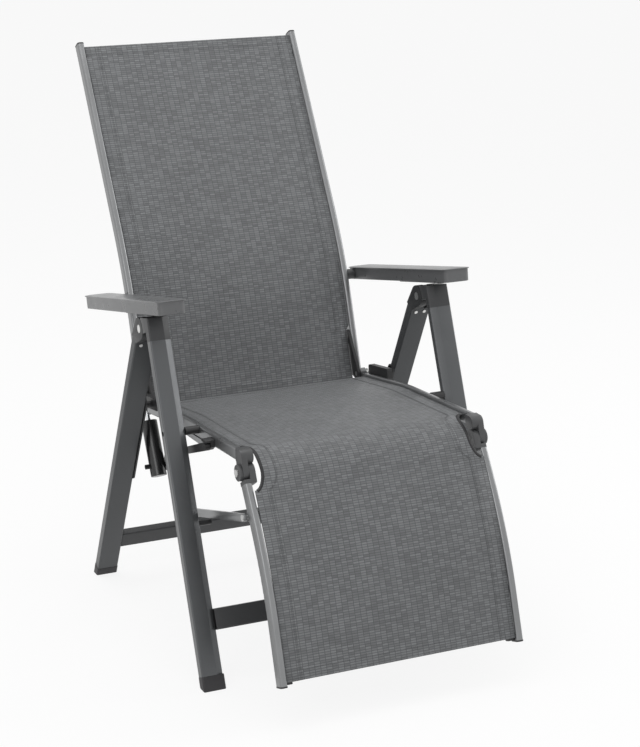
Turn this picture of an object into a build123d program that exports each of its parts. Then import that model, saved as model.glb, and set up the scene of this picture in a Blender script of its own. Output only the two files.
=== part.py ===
from build123d import *
import os
from math import cos, radians, sin

# Reclining garden armchair: a folding leg frame, a seat, a back and a leg rest of
# sling fabric on rails, two armrests, and a gas spring that holds the back.
# Millimetres and degrees. X is across the chair, -Y is its front, Z is up.
# The chair stands on z = 0. "left" is the side of -X.

os.makedirs("parts", exist_ok=True)

SIDES = (("left", -1), ("right", 1))

# Clearances
face_gap = 0.4
running_clearance = 0.05
guide_clearance = 2.0
rod_eye_clearance = 1.5
cut_overrun = 1.0

# Leg frame, side view
leg_hinge_y = -27.0
leg_hinge_z = 628.0
front_leg_lean = 21.8
rear_leg_lean = 26.8
front_leg_lead = 47.8
rear_leg_lag = 14.9

# Legs
leg_inner_x = 276.5
leg_width = 44.0
leg_depth = 21.0
leg_wall = 2.0
leg_corner = 3.0
leg_bevel_width = 14.0
leg_bevel_depth = 7.0
front_leg_drop = 32.0
rear_leg_drop = 39.0
foot_height = 25.0
foot_margin = 1.0

# Cross bars of the leg frame
cross_bar_depth = 18.0
cross_bar_corner = 3.0
cross_bar_wall = 2.0
front_bar_width = 40.0
front_bar_z = 118.0
rear_bar_width = 38.0
rear_bar_z = 91.0

# Caps and hinge at the top of the legs
cap_below_arm = 20.0
cap_back_reach = 30.0
cap_back_low = 12.0
cap_corner = 2.0
cheek_radius = 22.0
cheek_width = 15.0
cheek_gap = 1.5
tongue_radius = 17.0
hinge_pin_radius = 5.0
hinge_head_radius = 8.0
hinge_head_recess = 2.5
rear_cap_block = 19.0
screw_radius = 3.6
screw_height = 1.4
screw_spacing = 19.0
screw_inset = 9.0

# Seat
seat_pivot_z = 452.0
rail_outer_x = 249.0
seat_rail_width = 14.0
seat_rail_height = 25.0
rail_corner = 5.0
rail_wall = 1.6
seat_rear_y = 131.0
seat_rear_z = 413.2
seat_bend_y = -60.0
seat_bend_z = 441.0
seat_front_y = -338.0
seat_front_z = 460.0
seat_bend_radius = 700.0
seat_pivot_radius = 5.0
spacer_radius = 8.0
gusset_width = 13.0
gusset_front_y = -232.0
gusset_rear_y = -2.0
gusset_depth = 9.0
gusset_slant = 45.0

# Hinge of the back and seat
recline_y = 158.0
recline_z = 420.0
seat_eye_radius = 11.0
seat_eye_width = 12.5
recline_pin_radius = 5.0
bracket_thickness = 4.5
bracket_radius = 15.0
rod_pin_y = 176.5
rod_pin_z = 409.5
rod_pin_radius = 4.0
rod_pin_boss = 8.0

# Back
back_rail_width = 14.0
back_rail_depth = 24.0
back_foot_y = 182.4
back_foot_z = 418.3
back_bend_y = 261.8
back_bend_z = 656.9
back_head_y = 527.0
back_head_z = 1100.7
back_bend_radius = 1000.0
back_plate_thickness = 6.0
back_plate_reach = 80.0
plug_length = 3.0
plug_margin = 0.6

# Slings
sling_thickness = 2.0
back_sling_rise = 5.0
seat_sling_rise = 6.0
back_sling_inset = 6.0
back_sling_drop = 18.0
seat_sling_front_y = -349.0
seat_sling_front_z = 465.5
sling_notch_width = 20.0
sling_notch_reach = 36.0

# Cross tubes between the rails
tube_radius = 7.5
tube_wall = 1.6
tube_set = 4.5
seat_front_tube_y = -292.0
seat_rear_tube_y = 108.0
back_top_tube_inset = 46.0
back_low_tube_inset = 66.0
leg_tube_inset = 96.0

# Guide of the seat on the rear legs
guide_pin_z = 438.0
guide_pin_radius = 6.0
guide_pin_reach = 2.6
guide_thickness = 3.5
guide_width = 24.0
guide_above = 14.0
guide_travel = 187.0
seat_rest_front_y = 48.0
seat_rest_rear_y = 138.0
seat_rest_height = 24.0
seat_rest_width = 12.0
seat_rest_corner = 5.0

# Gas spring, on the left
gas_x = 240.0
gas_pin_y = 117.0
gas_pin_z = 294.0
gas_radius = 16.5
gas_below_pin = 22.0
gas_above_pin = 94.0
gas_trunnion_radius = 5.0
gas_trunnion_reach = 9.0
gas_edge = 2.0
rod_radius = 5.0
rod_inside = 42.0
rod_bore = 70.0
rod_eye_width = 9.0
rod_eye_wall = 3.0
gas_bracket_thickness = 5.0
gas_bracket_radius = 12.0
gas_bracket_x = 221.5
gas_bracket_top_y = 30.0
gas_bracket_top_length = 50.0

# Release lever, on the left
lever_y = -226.0
lever_z = 443.0
lever_tip_y = -132.0
lever_tip_z = 407.0
lever_width = 11.0
lever_hub_radius = 8.0
lever_tip_radius = 7.0
lever_pin_radius = 3.0
lever_plate = 8.0
hood_front_y = -236.0
hood_rear_y = -216.0
hood_top_z = 457.0
hood_thickness = 5.0

# Leg rest
leg_hinge_line_y = -359.0
leg_hinge_line_z = 431.0
leg_rail_width = 14.0
leg_rail_depth = 26.0
leg_bend_y = -463.0
leg_bend_z = 268.0
leg_end_y = -526.3
leg_end_z = 78.0
leg_bend_radius = 900.0
leg_rail_start = 24.0
leg_stub_reach = 13.0
leg_stub_height = 14.0
leg_sling_start = 14.0
leg_sling_inset = 5.0
leg_sling_rise = 6.0

# Knuckles of the leg rest
knuckle_radius = 16.0
barrel_radius = 13.5
barrel_y = -353.0
barrel_z = 459.0
knuckle_width = 24.0
knuckle_leaf = 11.5
knuckle_block_start = 16.5
ratchet_radius = 15.5
ratchet_thickness = 5.5
ratchet_pin_radius = 5.0
bolt_head_radius = 7.0
bolt_head_height = 3.0

# Stays of the leg rest
stay_pin_y = -386.0
stay_pin_z = 354.0
stay_slope = 16.5
stay_length = 262.0
stay_height = 15.0
stay_thickness = 6.0
stay_x = 250.0
stay_pin_radius = 4.0
stay_lug_radius = 8.0
stay_head_radius = 16.0
stay_head_height = 6.0
stay_lug_length = 30.0
stud_radius = 5.0
stud_gap = 3.2
stud_distance = 190.0

# Armrests
arm_pivot_y = 263.0
arm_pivot_z = 612.0
arm_slope = 11.5
arm_inner_x = 269.0
arm_width = 60.0
arm_rear_reach = 27.0
arm_front_reach = 437.0
arm_rise = 16.0
arm_fall = 12.0
arm_lip = 3.5
arm_overhang = 3.0
arm_wall = 3.0
arm_top = 4.0
arm_corner = 14.0
track_front_reach = 393.0
track_rear_reach = 204.0
track_width = 34.0
track_wall = 3.0
track_drop = 2.5
knuckle_flange_radius = 11.0
arm_bush_radius = 7.5
arm_bush_reach = 10.0
arm_pin_radius = 4.0
arm_pin_head_radius = 6.5
arm_pin_head = 3.0

# Directions and places that follow from the sizes
leg_outer_x = leg_inner_x + leg_width
leg_mid_x = leg_inner_x + leg_width / 2
hinge = Vector(0, leg_hinge_y, leg_hinge_z)
front_up = Vector(0, sin(radians(front_leg_lean)), cos(radians(front_leg_lean)))
front_back = Vector(0, front_up.Z, -front_up.Y)
rear_up = Vector(0, -sin(radians(rear_leg_lean)), cos(radians(rear_leg_lean)))
rear_back = Vector(0, rear_up.Z, -rear_up.Y)
front_top = hinge - front_back * front_leg_lead
rear_top = hinge + rear_back * rear_leg_lag
front_foot = front_top - front_up * (front_top.Z / front_up.Z)
rear_foot = rear_top - rear_up * (rear_top.Z / rear_up.Z)
front_tube_length = (front_top - front_foot).length - foot_height - front_leg_drop
rear_tube_length = (rear_top - rear_foot).length - foot_height - rear_leg_drop

seat_pivot = front_foot + front_up * (seat_pivot_z / front_up.Z)
recline_axis = Vector(0, recline_y, recline_z)
rod_pin = Vector(0, rod_pin_y, rod_pin_z)
gas_pin = Vector(0, gas_pin_y, gas_pin_z)
gas_up = (rod_pin - gas_pin).normalized()
gas_length = (rod_pin - gas_pin).length
leg_axis = Vector(0, leg_hinge_line_y, leg_hinge_line_z)
leg_down = (Vector(0, leg_bend_y, leg_bend_z) - leg_axis).normalized()
leg_back = Vector(0, -leg_down.Z, leg_down.Y)
guide_pin = rear_foot + rear_up * (guide_pin_z / rear_up.Z)

arm_pivot = Vector(0, arm_pivot_y, arm_pivot_z)
arm_forward = Vector(0, -cos(radians(arm_slope)), sin(radians(arm_slope)))
arm_up = Vector(0, sin(radians(arm_slope)), cos(radians(arm_slope)))
arm_mid_x = arm_inner_x + arm_width / 2

stay_pin = Vector(0, stay_pin_y, stay_pin_z)
stay_back = Vector(0, cos(radians(stay_slope)), -sin(radians(stay_slope)))
stay_up = Vector(0, sin(radians(stay_slope)), cos(radians(stay_slope)))
stud = stay_pin + stay_back * stud_distance - stay_up * (stay_height / 2 + stud_gap + stud_radius)

sling_half_width = rail_outer_x - back_rail_width - face_gap
seat_sling_half_width = rail_outer_x - seat_rail_width - face_gap
leg_sling_half_width = rail_outer_x - leg_rail_width - face_gap
seat_rail_x = rail_outer_x - seat_rail_width / 2
back_rail_x = rail_outer_x - back_rail_width / 2
leg_rail_x = rail_outer_x - leg_rail_width / 2


def leg_plane(x, point, up):
    """Plane square to a leg or rail: local x is across the chair."""
    return Plane(origin=(x, point.Y, point.Z), x_dir=(1, 0, 0), z_dir=up)


def side_plane(x):
    """Side view plane: local x is Y and local y is Z."""
    return Plane.YZ.offset(x)


def side_points(points):
    """Points of the side view as a sketch on a side plane needs them."""
    return [(point.Y, point.Z) for point in points]


def lean(point, along, across, distance, offset):
    """A point at a distance along one direction and an offset along another."""
    return point + along * distance + across * offset


# Front legs, with the bevel on the inner front edge
for side_name, side in SIDES:
    inner = -side * leg_width / 2
    front_face = -leg_depth / 2
    leg_section = [
        (-inner, front_face),
        (-inner, -front_face),
        (inner, -front_face),
        (inner, front_face + leg_bevel_depth),
        (inner + side * leg_bevel_width, front_face),
    ]
    tube_start = front_foot + front_up * foot_height
    with BuildPart() as front_leg:
        with BuildSketch(leg_plane(side * leg_mid_x, tube_start, front_up)) as section:
            with BuildLine():
                Polyline(leg_section, close=True)
            make_face()
            fillet(section.vertices(), radius=leg_corner)
            offset(amount=-leg_wall, kind=Kind.INTERSECTION, mode=Mode.SUBTRACT)
        extrude(amount=front_tube_length)
        with BuildSketch(side_plane(side * leg_outer_x)) as pin_hole:
            with Locations((seat_pivot.Y, seat_pivot.Z)):
                Circle(seat_pivot_radius)
        extrude(amount=-side * leg_wall * 2, mode=Mode.SUBTRACT)
    front_leg.part.label = f"front_leg_{side_name}"
    export_step(front_leg.part, f"parts/front_leg_{side_name}.step")

    # Cap of the front leg: it goes on along the leg and reaches back to the hinge
    cap_start = front_top - front_up * front_leg_drop
    arm_bottom_plane = Plane(
        origin=arm_pivot - arm_up * cap_below_arm, x_dir=(1, 0, 0), z_dir=arm_up
    )
    with BuildPart() as front_cap:
        with BuildSketch(leg_plane(side * leg_mid_x, cap_start, front_up)) as cap_section:
            with BuildLine():
                Polyline(leg_section, close=True)
            make_face()
            fillet(cap_section.vertices(), radius=leg_corner)
        extrude(amount=front_leg_drop + leg_depth * 4)
        with BuildSketch(side_plane(side * leg_inner_x)):
            with BuildLine():
                Polyline(
                    side_points(
                        [
                            lean(front_top, front_up, front_back, -cap_back_low, 0),
                            lean(front_top, front_up, front_back, cap_back_low * 4, 0),
                            lean(front_top, front_up, front_back, cap_back_low * 4, cap_back_reach),
                            lean(front_top, front_up, front_back, -cap_back_low, cap_back_reach),
                        ]
                    ),
                    close=True,
                )
            make_face()
        extrude(amount=side * leg_width)
        with BuildSketch(side_plane(side * leg_inner_x)):
            with Locations((hinge.Y, hinge.Z)):
                Circle(cheek_radius + cheek_gap)
        extrude(amount=side * leg_width, mode=Mode.SUBTRACT)
        tongue_width = leg_width - 2 * (cheek_width + face_gap)
        tongue_root = front_top + front_back * leg_depth / 2
        with BuildSketch(side_plane(side * (leg_mid_x - tongue_width / 2))):
            with Locations((hinge.Y, hinge.Z)):
                Circle(tongue_radius)
            with Locations((tongue_root.Y, tongue_root.Z)):
                Circle(tongue_radius - leg_corner)
            make_hull()
        extrude(amount=side * tongue_width)
        with BuildSketch(side_plane(side * leg_inner_x)):
            with Locations((hinge.Y, hinge.Z)):
                Circle(hinge_pin_radius + running_clearance)
        extrude(amount=side * leg_width, mode=Mode.SUBTRACT)
        split(bisect_by=arm_bottom_plane, keep=Keep.BOTTOM)
    front_cap.part.label = f"front_cap_{side_name}"
    export_step(front_cap.part, f"parts/front_cap_{side_name}.step")

# Front feet, cut flat by the ground
with BuildPart() as front_feet:
    for side_name, side in SIDES:
        with BuildSketch(leg_plane(side * leg_mid_x, front_foot, front_up)):
            RectangleRounded(leg_width + foot_margin, leg_depth + foot_margin, leg_corner)
        extrude(amount=foot_height)
        with BuildSketch(leg_plane(side * leg_mid_x, front_foot, front_up)):
            RectangleRounded(leg_width + foot_margin, leg_depth + foot_margin, leg_corner)
        extrude(amount=-leg_depth)
    split(bisect_by=Plane.XY, keep=Keep.TOP)
front_feet.part.label = "front_feet"
export_step(front_feet.part, "parts/front_feet.step")

# Front cross bar, flush with the front faces of the legs
front_bar_middle = (
    front_foot
    + front_up * (front_bar_z / front_up.Z)
    - front_back * ((leg_depth - cross_bar_depth) / 2)
)
with BuildPart() as front_cross_bar:
    bar_plane = Plane(
        origin=(-leg_inner_x, front_bar_middle.Y, front_bar_middle.Z),
        x_dir=front_back,
        z_dir=(1, 0, 0),
    )
    with BuildSketch(bar_plane):
        RectangleRounded(cross_bar_depth, front_bar_width, cross_bar_corner)
        offset(amount=-cross_bar_wall, mode=Mode.SUBTRACT)
    extrude(amount=leg_inner_x * 2)
front_cross_bar.part.label = "front_cross_bar"
export_step(front_cross_bar.part, "parts/front_cross_bar.step")

# Pins of the leg hinges, with a head in the outer cheek's recess
with BuildPart() as leg_hinge_pins:
    for side_name, side in SIDES:
        with BuildSketch(side_plane(side * leg_inner_x)):
            with Locations((hinge.Y, hinge.Z)):
                Circle(hinge_pin_radius)
        extrude(amount=side * leg_width)
        for face_x, inward in ((leg_outer_x, -1), (leg_inner_x, 1)):
            with BuildSketch(side_plane(side * face_x)):
                with Locations((hinge.Y, hinge.Z)):
                    Circle(hinge_head_radius)
            extrude(amount=side * inward * (hinge_head_recess - face_gap))
leg_hinge_pins.part.label = "leg_hinge_pins"
export_step(leg_hinge_pins.part, "parts/leg_hinge_pins.step")

# Pins that carry the seat, from the front legs through a spacer into the seat rails
with BuildPart() as seat_pivot_pins:
    for side_name, side in SIDES:
        with BuildSketch(side_plane(side * (rail_outer_x - seat_rail_width / 2))):
            with Locations((seat_pivot.Y, seat_pivot.Z)):
                Circle(seat_pivot_radius)
        extrude(amount=side * (leg_inner_x - rail_outer_x + seat_rail_width / 2))
        with BuildSketch(side_plane(side * (rail_outer_x + face_gap))):
            with Locations((seat_pivot.Y, seat_pivot.Z)):
                Circle(spacer_radius)
        extrude(amount=side * (leg_inner_x - rail_outer_x - face_gap))
seat_pivot_pins.part.label = "seat_pivot_pins"
export_step(seat_pivot_pins.part, "parts/seat_pivot_pins.step")

# Studs inside the front legs, on which the stays of the leg rest slide
with BuildPart() as stay_studs:
    for side_name, side in SIDES:
        with BuildSketch(side_plane(side * stay_x)):
            with Locations((stud.Y, stud.Z)):
                Circle(stud_radius)
        extrude(amount=side * (leg_inner_x - stay_x))
stay_studs.part.label = "stay_studs"
export_step(stay_studs.part, "parts/stay_studs.step")

# Rear legs, their caps and the guides on their inner faces
for side_name, side in SIDES:
    tube_start = rear_foot + rear_up * foot_height
    with BuildPart() as rear_leg:
        with BuildSketch(leg_plane(side * leg_mid_x, tube_start, rear_up)):
            RectangleRounded(leg_width, leg_depth, leg_corner)
            offset(amount=-leg_wall, mode=Mode.SUBTRACT)
        extrude(amount=rear_tube_length)
    rear_leg.part.label = f"rear_leg_{side_name}"
    export_step(rear_leg.part, f"parts/rear_leg_{side_name}.step")

    block_start = rear_top - rear_up * rear_leg_drop
    block_end = rear_top - rear_up * (rear_leg_drop - rear_cap_block)
    cheek_foot = [
        lean(block_start, rear_up, rear_back, 0, -leg_depth / 2),
        lean(block_start, rear_up, rear_back, 0, leg_depth / 2),
    ]
    with BuildPart() as rear_cap:
        with BuildSketch(leg_plane(side * leg_mid_x, block_start, rear_up)):
            RectangleRounded(leg_width, leg_depth, cap_corner)
        extrude(amount=rear_cap_block)
        for cheek_x in (leg_inner_x, leg_outer_x - cheek_width):
            with BuildSketch(side_plane(side * cheek_x)):
                with Locations((hinge.Y, hinge.Z)):
                    Circle(cheek_radius)
                with Locations(side_points(cheek_foot)):
                    Circle(cap_corner)
                make_hull()
            extrude(amount=side * cheek_width)
        with BuildSketch(leg_plane(side * leg_mid_x, block_start, rear_up)):
            Rectangle(leg_width * 2, leg_depth * 4)
        extrude(amount=-cap_corner * 2, mode=Mode.SUBTRACT)
        with BuildSketch(side_plane(side * leg_inner_x)):
            with Locations((hinge.Y, hinge.Z)):
                Circle(hinge_pin_radius + running_clearance)
        extrude(amount=side * leg_width, mode=Mode.SUBTRACT)
        for face_x, inward in ((leg_outer_x, -1), (leg_inner_x, 1)):
            with BuildSketch(side_plane(side * face_x)):
                with Locations((hinge.Y, hinge.Z)):
                    Circle(hinge_head_radius + face_gap)
            extrude(amount=side * inward * hinge_head_recess, mode=Mode.SUBTRACT)
    rear_cap.part.label = f"rear_cap_{side_name}"
    export_step(rear_cap.part, f"parts/rear_cap_{side_name}.step")

# Guides on the inner faces of the rear legs, in which the seat's pins slide
guide_top = guide_pin + rear_up * guide_above
guide_bottom = guide_pin - rear_up * (guide_travel + guide_above)
guide_centre = (guide_top + guide_bottom) / 2
guide_length = (guide_top - guide_bottom).length
slot_width = 2 * (guide_pin_radius + guide_clearance)
with BuildPart() as seat_guides:
    for side_name, side in SIDES:
        guide_plane = Plane(
            origin=(side * leg_inner_x, guide_centre.Y, guide_centre.Z),
            x_dir=rear_up,
            z_dir=(-side, 0, 0),
        )
        with BuildSketch(guide_plane):
            SlotOverall(guide_length + guide_width - slot_width, guide_width)
            SlotOverall(guide_length, slot_width, mode=Mode.SUBTRACT)
        extrude(amount=guide_thickness)
seat_guides.part.label = "seat_guides"
export_step(seat_guides.part, "parts/seat_guides.step")


# Two screws in the front face of each rear leg, just under its cap
with BuildPart() as rear_cap_screws:
    screw_centre = rear_top - rear_up * (rear_leg_drop + screw_inset) - rear_back * (leg_depth / 2)
    for side_name, side in SIDES:
        screw_plane = Plane(
            origin=(side * leg_mid_x, screw_centre.Y, screw_centre.Z),
            x_dir=(1, 0, 0),
            z_dir=-rear_back,
        )
        with BuildSketch(screw_plane):
            with GridLocations(screw_spacing, 0, 2, 1):
                Circle(screw_radius)
        extrude(amount=screw_height)
rear_cap_screws.part.label = "rear_cap_screws"
export_step(rear_cap_screws.part, "parts/rear_cap_screws.step")

with BuildPart() as rear_feet:
    for side_name, side in SIDES:
        with BuildSketch(leg_plane(side * leg_mid_x, rear_foot, rear_up)):
            RectangleRounded(leg_width + foot_margin, leg_depth + foot_margin, leg_corner)
        extrude(amount=foot_height)
        with BuildSketch(leg_plane(side * leg_mid_x, rear_foot, rear_up)):
            RectangleRounded(leg_width + foot_margin, leg_depth + foot_margin, leg_corner)
        extrude(amount=-leg_depth)
    split(bisect_by=Plane.XY, keep=Keep.TOP)
rear_feet.part.label = "rear_feet"
export_step(rear_feet.part, "parts/rear_feet.step")

rear_bar_middle = rear_foot + rear_up * (rear_bar_z / rear_up.Z)
with BuildPart() as rear_cross_bar:
    bar_plane = Plane(
        origin=(-leg_inner_x, rear_bar_middle.Y, rear_bar_middle.Z),
        x_dir=rear_back,
        z_dir=(1, 0, 0),
    )
    with BuildSketch(bar_plane):
        RectangleRounded(cross_bar_depth, rear_bar_width, cross_bar_corner)
        offset(amount=-cross_bar_wall, mode=Mode.SUBTRACT)
    extrude(amount=leg_inner_x * 2)
rear_cross_bar.part.label = "rear_cross_bar"
export_step(rear_cross_bar.part, "parts/rear_cross_bar.step")

# Seat rails, each with its end eye at the recline axis
seat_rear = Vector(0, seat_rear_y, seat_rear_z)
seat_bend = Vector(0, seat_bend_y, seat_bend_z)
seat_front = Vector(0, seat_front_y, seat_front_z)
seat_rear_up = (seat_bend - seat_rear).normalized()
for side_name, side in SIDES:
    with BuildPart() as seat_rail:
        with BuildLine() as seat_path:
            FilletPolyline(
                seat_rear + Vector(side * seat_rail_x, 0, 0),
                seat_bend + Vector(side * seat_rail_x, 0, 0),
                seat_front + Vector(side * seat_rail_x, 0, 0),
                radius=seat_bend_radius,
            )
        with BuildSketch(leg_plane(side * seat_rail_x, seat_rear, seat_path.line % 0)):
            RectangleRounded(seat_rail_width, seat_rail_height, rail_corner)
            offset(amount=-rail_wall, mode=Mode.SUBTRACT)
        sweep()
        with BuildSketch(side_plane(side * (rail_outer_x + cut_overrun))):
            with Locations((seat_pivot.Y, seat_pivot.Z)):
                Circle(seat_pivot_radius + running_clearance)
        extrude(amount=-side * (cut_overrun + seat_rail_width / 2), mode=Mode.SUBTRACT)
    seat_rail.part.label = f"seat_rail_{side_name}"
    export_step(seat_rail.part, f"parts/seat_rail_{side_name}.step")

    # Gusset plate under the rail, round the leg crossing
    with BuildPart() as seat_gusset:
        gusset_low = seat_bend_z - seat_rail_height / 2 - gusset_depth
        with BuildSketch(side_plane(side * (rail_outer_x - gusset_width))):
            with BuildLine():
                Polyline(
                    (gusset_rear_y, seat_bend_z - seat_rail_height / 2),
                    (gusset_rear_y - gusset_slant, gusset_low),
                    (gusset_front_y + gusset_slant, gusset_low + gusset_depth / 2),
                    (gusset_front_y, seat_bend_z),
                    (gusset_rear_y, seat_bend_z),
                    close=True,
                )
            make_face()
        extrude(amount=side * gusset_width)
        with BuildLine() as gusset_path:
            FilletPolyline(
                seat_rear + Vector(side * seat_rail_x, 0, 0),
                seat_bend + Vector(side * seat_rail_x, 0, 0),
                seat_front + Vector(side * seat_rail_x, 0, 0),
                radius=seat_bend_radius,
            )
        with BuildSketch(leg_plane(side * seat_rail_x, seat_rear, gusset_path.line % 0)):
            Rectangle(seat_rail_width + cut_overrun, seat_rail_height)
        sweep(mode=Mode.SUBTRACT)
        with BuildSketch(side_plane(side * (rail_outer_x + cut_overrun))):
            with Locations((seat_pivot.Y, seat_pivot.Z)):
                Circle(spacer_radius)
        extrude(amount=-side * (cut_overrun + seat_rail_width), mode=Mode.SUBTRACT)
    seat_gusset.part.label = f"seat_gusset_{side_name}"
    export_step(seat_gusset.part, f"parts/seat_gusset_{side_name}.step")


    # Knuckle at the front end of the seat rail
    rail_front_up = (seat_front - seat_bend).normalized()
    rail_front_side = rail_front_up.rotate(Axis.X, 90)
    with BuildPart() as seat_knuckle:
        with BuildSketch(side_plane(side * (rail_outer_x - knuckle_width))):
            with Locations((barrel_y, barrel_z)):
                Circle(barrel_radius)
            with BuildLine():
                Polyline(
                    side_points(
                        [
                            lean(seat_front, rail_front_up, rail_front_side, 0, seat_rail_height / 2),
                            lean(seat_front, rail_front_up, rail_front_side, 0, -seat_rail_height / 2),
                            Vector(0, barrel_y, barrel_z + barrel_radius),
                            Vector(0, barrel_y, barrel_z - barrel_radius),
                        ]
                    ),
                    close=True,
                )
            make_face()
        extrude(amount=side * knuckle_width)
        with BuildSketch(side_plane(side * (rail_outer_x - knuckle_width))):
            with Locations((leg_axis.Y, leg_axis.Z)):
                Circle(knuckle_radius + face_gap)
        extrude(amount=side * knuckle_width, mode=Mode.SUBTRACT)
        with BuildSketch(side_plane(side * (rail_outer_x - knuckle_leaf))):
            with Locations((leg_axis.Y, leg_axis.Z)):
                Circle(knuckle_radius)
            with Locations((barrel_y, barrel_z)):
                Circle(barrel_radius)
            make_hull()
            with Locations((leg_axis.Y, leg_axis.Z)):
                Circle(ratchet_pin_radius + running_clearance, mode=Mode.SUBTRACT)
        extrude(amount=side * knuckle_leaf)
    seat_knuckle.part.label = f"seat_knuckle_{side_name}"
    export_step(seat_knuckle.part, f"parts/seat_knuckle_{side_name}.step")

# End eyes of the seat rails, at the recline axis
seat_rear_low = seat_rear_up.rotate(Axis.X, 90)
seat_end_low = seat_rear + seat_rear_low * (seat_rail_height / 2)
seat_end_high = seat_rear - seat_rear_low * (seat_rail_height / 2)
with BuildPart() as seat_eyes:
    for side_name, side in SIDES:
        with BuildSketch(side_plane(side * (rail_outer_x - seat_eye_width))):
            with Locations((recline_axis.Y, recline_axis.Z)):
                Circle(seat_eye_radius)
            with BuildLine():
                Polyline(side_points([seat_end_low, seat_end_high, recline_axis]), close=True)
            make_face()
            with Locations((recline_axis.Y, recline_axis.Z)):
                Circle(recline_pin_radius + running_clearance, mode=Mode.SUBTRACT)
        extrude(amount=side * seat_eye_width)
seat_eyes.part.label = "seat_eyes"
export_step(seat_eyes.part, "parts/seat_eyes.step")

# Rests beside the seat rails, with the pins that slide in the guides of the rear legs
rear_span = seat_rear_y - seat_bend_y
rest_front = seat_rear + (seat_bend - seat_rear) * ((seat_rear_y - seat_rest_front_y) / rear_span)
rest_rear = seat_rear + (seat_bend - seat_rear) * ((seat_rear_y - seat_rest_rear_y) / rear_span)
rest_middle = (rest_front + rest_rear) / 2
with BuildPart() as seat_rests:
    for side_name, side in SIDES:
        rest_plane = Plane(
            origin=(side * rail_outer_x, rest_middle.Y, guide_pin.Z),
            x_dir=(rest_front - rest_rear).normalized(),
            z_dir=(side, 0, 0),
        )
        with BuildSketch(rest_plane):
            RectangleRounded((rest_front - rest_rear).length, seat_rest_height, seat_rest_corner)
        extrude(amount=seat_rest_width)
        with BuildSketch(side_plane(side * rail_outer_x)):
            with Locations((guide_pin.Y, guide_pin.Z)):
                Circle(guide_pin_radius)
        extrude(amount=side * (leg_inner_x - rail_outer_x - guide_thickness + guide_pin_reach))
seat_rests.part.label = "seat_rests"
export_step(seat_rests.part, "parts/seat_rests.step")


# Cross tubes of the seat
for tube_name, tube_y in (("seat_front_bar", seat_front_tube_y), ("seat_rear_bar", seat_rear_tube_y)):
    beyond = seat_front if tube_y < seat_bend_y else seat_rear
    tube_z = seat_bend_z + (beyond.Z - seat_bend_z) * (tube_y - seat_bend_y) / (beyond.Y - seat_bend_y)
    with BuildPart() as seat_bar:
        tube_plane = side_plane(-rail_outer_x + seat_rail_width)
        with BuildSketch(tube_plane):
            with Locations((tube_y, tube_z - tube_set)):
                Circle(tube_radius)
                Circle(tube_radius - tube_wall, mode=Mode.SUBTRACT)
        extrude(amount=(rail_outer_x - seat_rail_width) * 2)
    seat_bar.part.label = tube_name
    export_step(seat_bar.part, f"parts/{tube_name}.step")

# Seat sling: fabric between the rails, cut out beside the knuckles
seat_rise = Vector(0, 0, seat_sling_rise)
with BuildPart() as seat_sling:
    with BuildLine() as seat_sling_path:
        FilletPolyline(
            seat_rear + seat_rise,
            seat_bend + seat_rise,
            Vector(0, seat_sling_front_y, seat_sling_front_z),
            radius=seat_bend_radius,
        )
    with BuildSketch(leg_plane(0, seat_sling_path.line @ 0, seat_sling_path.line % 0)):
        Rectangle(seat_sling_half_width * 2, sling_thickness)
    sweep()
    with BuildSketch(Plane.XY.offset(seat_front_z - seat_rail_height)):
        with Locations(
            (-seat_sling_half_width, seat_sling_front_y), (seat_sling_half_width, seat_sling_front_y)
        ):
            Ellipse(sling_notch_width, sling_notch_reach)
    extrude(amount=seat_rail_height * 2, mode=Mode.SUBTRACT)
seat_sling.part.label = "seat_sling"
export_step(seat_sling.part, "parts/seat_sling.step")

# Pins of the recline axis, fixed in the seat eyes
with BuildPart() as recline_pins:
    for side_name, side in SIDES:
        pin_inner_x = rail_outer_x - back_rail_width - back_plate_thickness
        with BuildSketch(side_plane(side * pin_inner_x)):
            with Locations((recline_axis.Y, recline_axis.Z)):
                Circle(recline_pin_radius)
        extrude(amount=side * (rail_outer_x + bracket_thickness + 2 * face_gap - pin_inner_x))
        with BuildSketch(side_plane(side * (rail_outer_x + bracket_thickness + 2 * face_gap))):
            with Locations((recline_axis.Y, recline_axis.Z)):
                Circle(seat_eye_radius - recline_pin_radius / 2)
        extrude(amount=side * screw_height * 2)
recline_pins.part.label = "recline_pins"
export_step(recline_pins.part, "parts/recline_pins.step")

# Bolts of the leg rest hinge, outside the ratchet discs
with BuildPart() as leg_hinge_bolts:
    for side_name, side in SIDES:
        with BuildSketch(side_plane(side * (rail_outer_x + ratchet_thickness + face_gap))):
            with Locations((leg_axis.Y, leg_axis.Z)):
                Circle(bolt_head_radius)
        extrude(amount=side * bolt_head_height)
leg_hinge_bolts.part.label = "leg_hinge_bolts"
export_step(leg_hinge_bolts.part, "parts/leg_hinge_bolts.step")

# Ratchet discs on the leg rest hinge, each with its shaft through both leaves
with BuildPart() as leg_ratchets:
    for side_name, side in SIDES:
        with BuildSketch(side_plane(side * (rail_outer_x - knuckle_width))):
            with Locations((leg_axis.Y, leg_axis.Z)):
                Circle(ratchet_pin_radius)
        extrude(amount=side * knuckle_width)
        with BuildSketch(side_plane(side * (rail_outer_x + face_gap))):
            with Locations((leg_axis.Y, leg_axis.Z)):
                Circle(ratchet_radius)
        extrude(amount=side * (ratchet_thickness - face_gap))
        with BuildSketch(side_plane(side * rail_outer_x)):
            with Locations((leg_axis.Y, leg_axis.Z)):
                Circle(ratchet_pin_radius)
        extrude(amount=side * (ratchet_thickness + face_gap))
leg_ratchets.part.label = "leg_ratchets"
export_step(leg_ratchets.part, "parts/leg_ratchets.step")

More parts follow.
